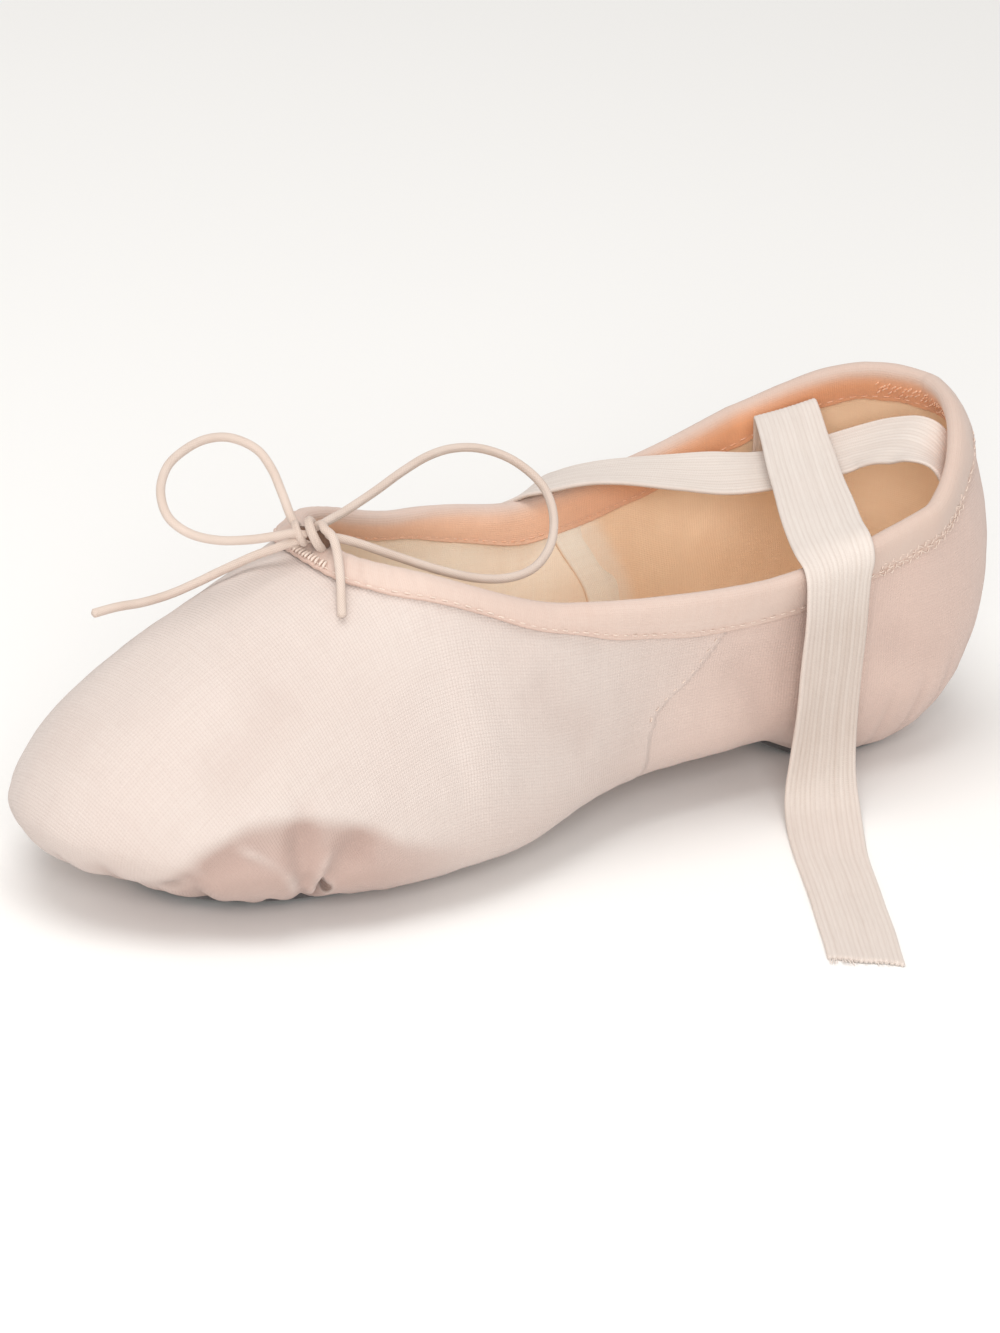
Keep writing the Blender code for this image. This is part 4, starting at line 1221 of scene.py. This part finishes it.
def gather_shade(points):
    """Painted shadow: 1 in the small deep gather under the little toe, less in the dimple ahead of it."""
    shade = np.zeros(len(points))
    for spot, size, strength in GATHER_SPOTS:
        away = np.linalg.norm((points - spot) / size, axis=1)
        shade += strength * np.exp(-(away**3))
    return np.clip(shade, 0, 1)


def pleat_relief(points, up_wall, out_share):
    """Gathers round the forefoot pad's front, with painted shade in their grooves. up_wall is the run above
    the widest line.
    """
    x, y = points[:, 0], points[:, 1] - PLEAT_CENTRE_Y
    turn, radius = np.degrees(np.arctan2(x, y)), np.hypot(x, y)
    moved, depth = np.zeros((2, len(points)))
    clear_of_pad = smooth_step(1.04, 1.25, oval_size(FOREFOOT_PAD, x, points[:, 1]))
    for angle, deep, width, reach_up in PLEATS:
        off = np.radians(np.abs((turn - angle + 180) % 360 - 180)) * radius
        fade = smooth_step(reach_up + 4.0, reach_up - 3.0, up_wall)
        strength = fade * clear_of_pad * smooth_step(-0.15, 0.5, out_share)
        groove = np.exp(-np.abs(off / width) ** 1.5) * strength
        puff = bell(off - 2.9 * width, 1.6 * width) * strength
        moved += deep * (PLEAT_PUFF * puff - groove)
        # Painted shade in the groove
        depth += PLEAT_SHADE * groove * deep
    return moved, depth


def heel_relief(points, up_wall):
    """Small gathers round the heel pad, with painted shade in their grooves."""
    x, y = points[:, 0], points[:, 1] - HEEL_ARC
    turn, radius = np.arctan2(x, -y), np.hypot(x, y)
    around_heel = np.exp(-((turn / 1.9) ** 8)) * smooth_step(-6.0, -14.0, up_wall)
    clear_of_pad = smooth_step(1.05, 1.3, oval_size(HEEL_PAD, x, points[:, 1]))
    wave = np.cos(turn * HEEL_PLEATS * 2) * smooth_step(8.0, 16.0, radius)
    groove = np.clip(wave, 0, 1) ** 4 * around_heel * clear_of_pad
    return -HEEL_PLEAT_DEPTH * groove, HEEL_PLEAT_SHADE * groove


def canvas_relief(points, up_wall, to_top, out_share, past_seam):
    """How far each point moves out, how much painted shade its folds, pleats and seams give it, and how much
    painted highlight its crest gets.
    """
    moved, fold, crest = fold_relief(points)
    for relief, deep in (
        pleat_relief(points, up_wall, out_share), heel_relief(points, up_wall), toe_tuck(points),
    ):
        moved += relief
        fold += deep
    for wave in CANVAS_WAVES:
        moved += soft_waves(points, *wave)
    # The quarters lie under the vamp at the side seams, with painted shade along each seam; the back seam
    # gets painted shade too
    moved += VAMP_EDGE_RISE * bell(past_seam - 1.1, 1.6) - SIDE_SEAM_DEPTH * bell(past_seam + 0.6, 0.6)
    fold += SIDE_SEAM_SHADE * bell(past_seam + 0.4, 0.6)
    back_seam = (points[:, 1] < 14) * bell(points[:, 0], 0.7) * smooth_step(-8, 0, up_wall)
    moved -= BACK_SEAM_DEPTH * back_seam
    fold += BACK_SEAM_SHADE * back_seam
    # A little gather where the binding is sewn on
    moved += bell(to_top - 6.0, 3.5) * soft_waves(points, *BINDING_GATHER)
    # Nothing swells down to the floor
    floor_room = smooth_step(2.0, 5.0, points[:, 2])
    return np.where(moved > 0, moved * floor_room, moved), fold, crest


def canvas_cloth(columns, grid, run, in_quarter):
    """Where each point lies on its flat cloth: a quarter's threads follow the sole, the vamp's the toe."""
    flat = np.zeros(run.shape)
    quarter = np.stack([flat + run_along(grid[:, CANVAS_UNDER_ROWS])[:, None], run, flat], -1)
    collar_x, collar_y, _ = grid[:, -1].T
    from_centre = np.hypot(collar_x, collar_y - np.clip(collar_y, HEEL_ARC, LENGTH - TOE_ARC))
    spread = from_centre[:, None] + run.max(axis=1, keepdims=True) - run
    across, along = around(np.stack([columns.across, columns.along], -1)).T[..., None]
    centre_y = there_and_back(columns.centre_y)[:, None]
    vamp = np.stack([spread * across, centre_y + spread * along, flat], -1)
    return np.where(in_quarter[..., None], quarter, vamp) * MM


def make_canvas(material, lining):
    columns = last_columns(34, 112, 124)
    out_share = np.sin(np.linspace(0.0, math.pi / 2, CANVAS_UNDER_ROWS, endpoint=False))
    top = columns.level_below_collar(CANVAS_BELOW_COLLAR)
    rows = [columns.under(columns.opening + (columns.widest - columns.opening) * out) for out in out_share]
    rows += [columns.wall(top * step) for step in np.linspace(0.0, 1.0, CANVAS_WALL_ROWS)]
    half = np.stack(rows)
    run = there_and_back(run_along(half).T)
    grid = around(half.swapaxes(0, 1))
    above = run - run[:, [CANVAS_UNDER_ROWS]]
    to_top = above.max(axis=1, keepdims=True) - above
    out_share = np.concatenate([out_share, np.ones(CANVAS_WALL_ROWS)])
    out_share = np.broadcast_to(out_share, run.shape).ravel()
    lengthwise = np.roll(grid, -1, 0) - np.roll(grid, 1, 0)
    normal = unit(np.cross(lengthwise, np.gradient(grid, axis=1))).reshape(-1, 3)
    points = grid.reshape(-1, 3)
    past_seam = (points[:, 1] - glide(SIDE_SEAM, points[:, 2])) * SIDE_SEAM_SLOPE
    moved, fold, crest = canvas_relief(points, above.ravel(), to_top.ravel(), out_share, past_seam)
    outer = points + moved[:, None] * normal

    canvas = make_piece(
        "canvas_upper", outer, grid_faces(grid, ring_columns=True), material, "pink_canvas", "upper"
    )
    canvas.data.materials.append(lining)
    quarter = smooth_step(0.5, -0.5, past_seam)
    # Painted dark brown shadow in the small gathers
    gather = gather_shade(outer)
    # Painted shade low down on the canvas, towards the floor
    fold += LOW_SHADE * smooth_step(26.0, 6.0, points[:, 2])
    add_fields(
        canvas,
        cloth=canvas_cloth(columns, grid, run, quarter.reshape(run.shape) > 0.5),
        # Painted shade of folds, pleats, seams and the low part, less under the painted crest highlights,
        # none under the painted gather shadow
        fold=np.clip(np.clip(fold, 0, 1) - crest, 0, 1) * (1 - gather),
        quarter=0.8 * smooth_step(128.0, 60.0, points[:, 1]) + 0.2 * quarter,
        gather=gather,
        cream=smooth_step(-3.5, 1.5, points[:, 1] - glide(LINING_EDGE, points[:, 2])),
    )
    weld = canvas.modifiers.new("middle of the arch", "WELD")
    weld.merge_threshold = WELD_REACH * MM
    solid = thicken(canvas, CANVAS, -1)
    solid.material_offset = 1
    solid.material_offset_rim = 0


# --- lining ---

# Where the peach quarter lining ends and the cream begins: height, distance from the heel
LINING_EDGE = ((0.0, 57.5), (25.3, 63.2), (38.6, 71.2), (49.3, 76.6), (60.0, 81.5))
# The tape over that edge
SEAM_TAPE_WIDTH = 11.5
SEAM_TAPE_HEIGHTS = (19.0, 45.5)
SEAM_TAPE_THICKNESS = 0.6
SEAM_TAPE_LIFT = 0.5
SEAM_TAPE_SINK = 0.85


def wall_face(side, z, y, out):
    """A point this far out from the wall's outer face, and the way out. side is 1 on the right."""
    columns = Columns(np.full(len(y), math.pi / 2), y)
    line = np.stack([columns.wall(level) for level in np.linspace(0, 1, 60)], 1)
    x, x_above = (
        np.array([np.interp(height + step, row[:, 2], row[:, 0]) for height, row in zip(z, line)])
        for step in (0.0, 0.5)
    )
    normal = unit(np.stack([np.ones(len(x)), np.zeros(len(x)), (x - x_above) / 0.5], -1))
    mirror = (side, 1.0, 1.0)
    return (np.stack([x, y, z], -1) + normal * out) * mirror, normal * mirror


def make_seam_tapes(material):
    """A cream tape down each inner wall, over the end of the quarter lining."""
    heights = np.linspace(*SEAM_TAPE_HEIGHTS, 40)
    across = np.linspace(0.0, SEAM_TAPE_WIDTH, 29)
    # Its back edge sinks softly into the lining, and its front edge stands a little proud
    lifts = SEAM_TAPE_LIFT - SEAM_TAPE_SINK * (1 - np.minimum(across / 5.0, 1.0))
    lifts += 0.15 * bell(across - SEAM_TAPE_WIDTH, 0.9)
    for side, name in ((1.0, "right"), (-1.0, "left")):
        grid = np.stack([
            wall_face(side, heights, glide(LINING_EDGE, heights) + part, -CANVAS - lift)[0]
            for part, lift in zip(across, lifts)
        ])
        faces = [face[:: -int(side)] for face in grid_faces(grid)]
        tape = make_piece(f"seam_tape_{name}", grid, faces, material, "cream_lining")
        flat = np.stack(np.meshgrid(across, heights, [0.0], indexing="ij"), -1) * MM
        # A painted shadow line along the proud front edge
        fold = np.repeat(bell(across - SEAM_TAPE_WIDTH, 0.35), len(heights))
        add_fields(tape, cloth=flat, fold=fold, cream=np.ones(fold.shape))
        thicken(tape, SEAM_TAPE_THICKNESS, -1)


# --- collar binding ---

# The folded tape's middle, round its fold: distance down from the collar line, distance out from
# the canvas's outer face
TAPE_THICKNESS = 0.8
TAPE_PROFILE = (
    (7.0, 0.78), (6.6, 0.74), (6.0, 0.66), (5.4, 0.76), (4.6, 0.92), (3.6, 1.04), (2.4, 1.10),
    (1.0, 1.02), (0.0, 0.72), (-0.8, 0.20), (-1.15, -0.65), (-0.8, -1.50), (0.0, -2.02),
    (1.0, -2.32), (2.4, -2.40), (3.6, -2.34), (4.6, -2.22), (5.4, -2.08), (6.0, -2.0), (6.6, -2.06),
    (7.0, -2.1),
)
TAPE_DEPTH = 7.0
TAPE_FOLD_OUT = -0.65
TAPE_PUCKER = 0.11
# Unevenness of the tape and of its edges: height, wavelength, seed
TAPE_WAVES = ((0.10, 11.0, 21), (0.06, 4.5, 22))
TAPE_EDGE_WAVE = (0.20, 12.0, 27)
# Bar tacks under the knot: from, to and step across
BAR_TACKS = (-6.6, 3.2, 0.95)
# Zigzag on the heel's left: its rows down the tape, its sway, and where it starts and ends
ZIGZAG_ROWS = (4.9, 6.6)
ZIGZAG_SWAY = 0.7
ZIGZAG_REACH = (24.0, 50.0)
HEEL_TOP_ROWS = (2.2, 3.2, 4.2)
# Where stitches lie, out from the canvas's outer face
OUTER_STITCHES_OUT = 0.66 + TAPE_THICKNESS / 2
INNER_STITCHES_OUT = -2.0 - TAPE_THICKNESS / 2
BAR_TACK_OUT = 1.15 + TAPE_THICKNESS / 2
ZIGZAG_OUT = 0.95 + TAPE_THICKNESS / 2
HEEL_TOP_OUT = -2.4 - TAPE_THICKNESS / 2
STITCH_DOWN = 6.0
# How deep the tape reaches down the wall: distance from the heel, depth
TAPE_DEPTHS = (
    (COLLAR_BACK, 8.0), (46.0, 7.3), (87.0, 8.0), (112.0, 6.2), (128.0, 4.6), (150.0, 4.6),
    (COLLAR_THROAT, 5.8),
)


def tape_base(columns, down):
    """The ring on the canvas's outer face under a place of the tape, the way out, and the way up."""
    collar_y = columns.centre_y + columns.collar * columns.along
    down = down * glide(TAPE_DEPTHS, collar_y) / TAPE_DEPTH if down > 0 else down
    line = around(columns.below_collar(down))
    along = np.roll(line, -1, axis=0) - np.roll(line, 1, axis=0)
    upward = around(columns.below_collar(down - 0.5) - columns.below_collar(down + 0.5))
    return line, unit(np.cross(along, upward)), unit(upward)


def tape_grid(columns):
    """The folded tape's middle surface, ring by ring, puckered at its stitches."""
    line = around(columns.below_collar(3.0))
    run = run_along(np.concatenate([line, line[:1]]))
    stitch_turn = run[:-1] / run[-1] * 2 * math.pi * round(run[-1] / BINDING_PITCH)
    throat = bell(line[:, 1] - 166.0, 9.0)
    rings = []
    for down, out in TAPE_PROFILE:
        centre, outward, upward = tape_base(columns, down)
        puckered = TAPE_PUCKER * bell(down - STITCH_DOWN, 1.6) * np.cos(stitch_turn)
        for wave in TAPE_WAVES:
            puckered += soft_waves(centre, *wave)
        puckered += 0.20 * throat * np.cos(stitch_turn / 1.6) * (down < STITCH_DOWN)
        # Either leaf moves away from the canvas, and the fold at the top keeps its place
        side = np.clip((out - TAPE_FOLD_OUT) / 1.4, -1.0, 1.0)
        edge_wave = soft_waves(centre, *TAPE_EDGE_WAVE) * smooth_step(4.5, 7.0, down)
        rings.append(centre + (out + side * puckered)[:, None] * outward + edge_wave[:, None] * upward)
    return np.stack(rings, 1), run[:-1, None]


def make_binding(material, thread, shaded_salmon_thread):
    columns = last_columns(40, 110, 70)
    grid, run = tape_grid(columns)
    shape = grid.shape[:2]
    binding = make_piece(
        "collar_binding", grid, grid_faces(grid, ring_columns=True), material, "pink_tape", "binding"
    )
    downs, outs = np.array(TAPE_PROFILE).T
    # Painted shade in the stitch row's groove and along the tape's lower edge
    groove = 0.25 * bell(downs - STITCH_DOWN, 0.5) + 0.35 * smooth_step(6.5, 7.0, downs)
    # The inner face, where the tape gets its painted shade
    inside = smooth_step(0.4, 2.0, -outs) * smooth_step(-1.0, 2.0, downs)
    add_fields(
        binding,
        cloth=np.stack(np.broadcast_arrays(run * MM, run_along(grid[0]) * MM, 0.0), -1),
        fold=np.broadcast_to(groove, shape),
        inside=np.broadcast_to(inside, shape),
        rear=smooth_step(100.0, 30.0, grid[..., 1]),
    )
    thicken(binding, TAPE_THICKNESS, 0)
    soften(binding, 0.16, 2)
    line, outward, _ = (np.concatenate([ring, ring[:1]]) for ring in tape_base(columns, STITCH_DOWN))
    for name, out, side, colour in (
        ("outer", OUTER_STITCHES_OUT, 1.0, thread), ("inner", INNER_STITCHES_OUT, -1.0, shaded_salmon_thread)
    ):
        parts = stitch_parts(f"binding {name}", line + out * outward, outward * side, 31)
        make_piece(f"binding_stitches_{name}", *join(parts), colour, "pink_tape")
    make_bartacks(columns, thread)
    make_heel_top_stitches(columns, shaded_salmon_thread)


def make_bartacks(columns, thread):
    """Close stitches on the binding's ends: bars under the knot, and a zigzag on the heel's left."""
    parts = []
    line, outward, _ = tape_base(columns, STITCH_DOWN + 1.0)
    low, _, _ = tape_base(columns, STITCH_DOWN - 1.8)
    in_front = line[:, 1] >= 150
    draw = random.Random(7)
    for x in np.arange(*BAR_TACKS):
        spot = np.argmin(np.where(in_front, np.abs(line[:, 0] - x), np.inf))
        ends = np.stack([line[spot], low[spot]]) + BAR_TACK_OUT * outward[spot]
        ends[1, 0] += draw.uniform(-0.3, 0.3)
        path = np.linspace(*ends, 12)
        normal = np.broadcast_to(outward[spot], path.shape)
        parts += stitch_parts("bar tack", path, normal, int(100 + 10 * x))
    start, end = ZIGZAG_REACH
    left_heel = (line[:, 0] < -27.0) & (line[:, 1] > start) & (line[:, 1] < end)
    for phase, down in enumerate(ZIGZAG_ROWS):
        row, outward, upward = (ring[left_heel] for ring in tape_base(columns, down))
        sway = np.where((np.arange(len(row)) + phase) % 2, ZIGZAG_SWAY, -ZIGZAG_SWAY)[:, None]
        path = row + ZIGZAG_OUT * outward + sway * upward
        parts += stitch_parts("zigzag", path, outward, 61, slant=0.25)
    make_piece("binding_bartacks", *join(parts), thread, "pink_tape")


def make_heel_top_stitches(columns, thread):
    """Rough stitching inside, at the top of the heel."""
    parts = []
    for down in HEEL_TOP_ROWS:
        row, outward, _ = tape_base(columns, down)
        back = [i for i in np.argsort(row[:, 0]) if row[i, 1] < 26.0 and -13.0 < row[i, 0] < 14.0]
        path = row[back] + HEEL_TOP_OUT * outward[back]
        seed = int(70 + 10 * down)
        parts += stitch_parts("heel top", path, -outward[back], seed, slant=0.45, wander=0.6)
    make_piece("heel_top_stitches", *join(parts), thread, "pink_tape")


# --- soles and insoles ---

PAD_BEVEL = 0.35
INSOLE_BEVEL = 0.25
INSOLE_LIFT = CANVAS + INSOLE_GAP
PAD_STITCH_LIFT = 0.06


def make_oval_piece(name, oval, lift, thickness, side, bevel, material, slot, replaced):
    """An oval piece that follows the underside, with soft edges."""
    rings, spokes = 18, 132
    angle = 2 * math.pi * np.arange(spokes) / spokes
    edge_x, edge_y = oval_edge(oval, angle)
    middle_y = (oval[0] + oval[1]) / 2
    share = np.arange(1, rings + 1)[:, None] / rings
    x = np.concatenate([[0.0], (share * edge_x).ravel()])
    y = np.concatenate([[0.0], (share * (edge_y - middle_y)).ravel()]) + middle_y
    slope_x = (sole_height(x + 0.1, y) - sole_height(x - 0.1, y)) / 0.2
    slope_y = (sole_height(x, y + 0.1) - sole_height(x, y - 0.1)) / 0.2
    up = unit(np.stack([-slope_x, -slope_y, np.ones(len(x))], -1))
    placed = np.stack([x, y, sole_height(x, y)], -1) + lift * up
    faces = [(0, 1 + spoke, 1 + (spoke + 1) % spokes) for spoke in range(spokes)]
    for inner in range(1, 1 + (rings - 1) * spokes, spokes):
        for spoke in range(spokes):
            here, following = inner + spoke, inner + (spoke + 1) % spokes
            faces.append((here, here + spokes, following + spokes, following))
    piece = make_piece(name, placed, faces, material, slot, replaced)
    flat = np.stack([x, y, np.zeros(len(x))], -1) * MM
    add_fields(piece, cloth=flat, fold=np.zeros(len(x)), cream=np.ones(len(x)))
    thicken(piece, thickness, side)
    soften(piece, bevel, 3)


def oval_stitches(kind, oval, inset, lift, direction, seed):
    """Stitches just inside an oval's edge, on its upper or lower face."""
    x, y = oval_edge(oval, np.linspace(0, 2 * math.pi, 240), inset)
    line = np.stack([x, y, sole_height(x, y) + lift], -1)
    outward = np.broadcast_to((0.0, 0.0, direction), line.shape)
    return stitch_parts(kind, line, outward, seed)


def make_soles(suede, cream, peach, thread):
    for end, oval in (("heel", HEEL_PAD), ("forefoot", FOREFOOT_PAD)):
        make_oval_piece(
            f"{end}_pad_suede", oval, -GAP, SUEDE, -1, PAD_BEVEL, suede, "grey_suede", f"sole_{end}"
        )
    for name, oval, material, slot, replaced in (
        ("heel_sock", HEEL_INSOLE, peach, "peach_sock", "insole_heel"),
        ("forefoot_insole", FOREFOOT_INSOLE, cream, "cream_lining", "insole_forefoot"),
    ):
        make_oval_piece(name, oval, INSOLE_LIFT, INSOLE, 1, INSOLE_BEVEL, material, slot, replaced)
    under, above = PAD_STITCH_LIFT - GAP - SUEDE, INSOLE_LIFT + INSOLE
    for kind, heel, forefoot, inset, lift, direction, seed, slot in (
        ("pad", HEEL_PAD, FOREFOOT_PAD, 2.4, under, -1.0, 41, "grey_suede"),
        ("insole", HEEL_INSOLE, FOREFOOT_INSOLE, 2.0, above, 1.0, 43, "cream_lining"),
    ):
        parts = oval_stitches(kind, heel, inset, lift, direction, seed)
        parts += oval_stitches(kind, forefoot, inset, lift, direction, seed + 1)
        make_piece(f"{kind}_stitches", *join(parts), thread, slot)


# --- all of it ---


def make_seam_stitches(thread):
    """A row of stitches on the vamp beside each side seam."""
    heights = np.linspace(*SIDE_STITCH_HEIGHTS, 30)
    parts = []
    for side in (-1.0, 1.0):
        line, normal = wall_face(side, heights, glide(SIDE_SEAM, heights) + SIDE_STITCH_AHEAD, 0.16)
        parts += stitch_parts("side seam", line, normal, 51)
    make_piece("side_seam_stitches", *join(parts), thread, "pink_canvas")


def make_slipper():
    weave, tint = woven_threads(), cloth_tint()
    canvas, lining, cream, seam_tape, tape = (
        cloth_material(name, weave, tint, *look) for name, look in CLOTHS.items()
    )
    elastic = elastic_material()
    thread = thread_material("sewing_thread", THREAD_PINK, TAPE_PINK)
    # The same thread inside the collar, with painted shade
    shaded_salmon_thread = thread_material("shaded_salmon_thread", THREAD_SALMON_SHADE, TAPE_INSIDE_HEEL_SHADE)

    make_drawstring(cord_material())
    make_strap("elastic_strap_far", STRAP_FAR_ROUTE, "strap_far", elastic, 1.0)
    make_strap("elastic_strap_near", STRAP_NEAR_ROUTE, "strap_near", elastic, 2.3)
    make_frays(elastic)
    make_canvas(canvas, lining)
    make_binding(tape, thread, shaded_salmon_thread)
    make_seam_tapes(seam_tape)
    make_soles(suede_material(), cream, leather_sock_material(), thread)
    make_seam_stitches(thread)


make_camera()
make_studio()
make_slipper()
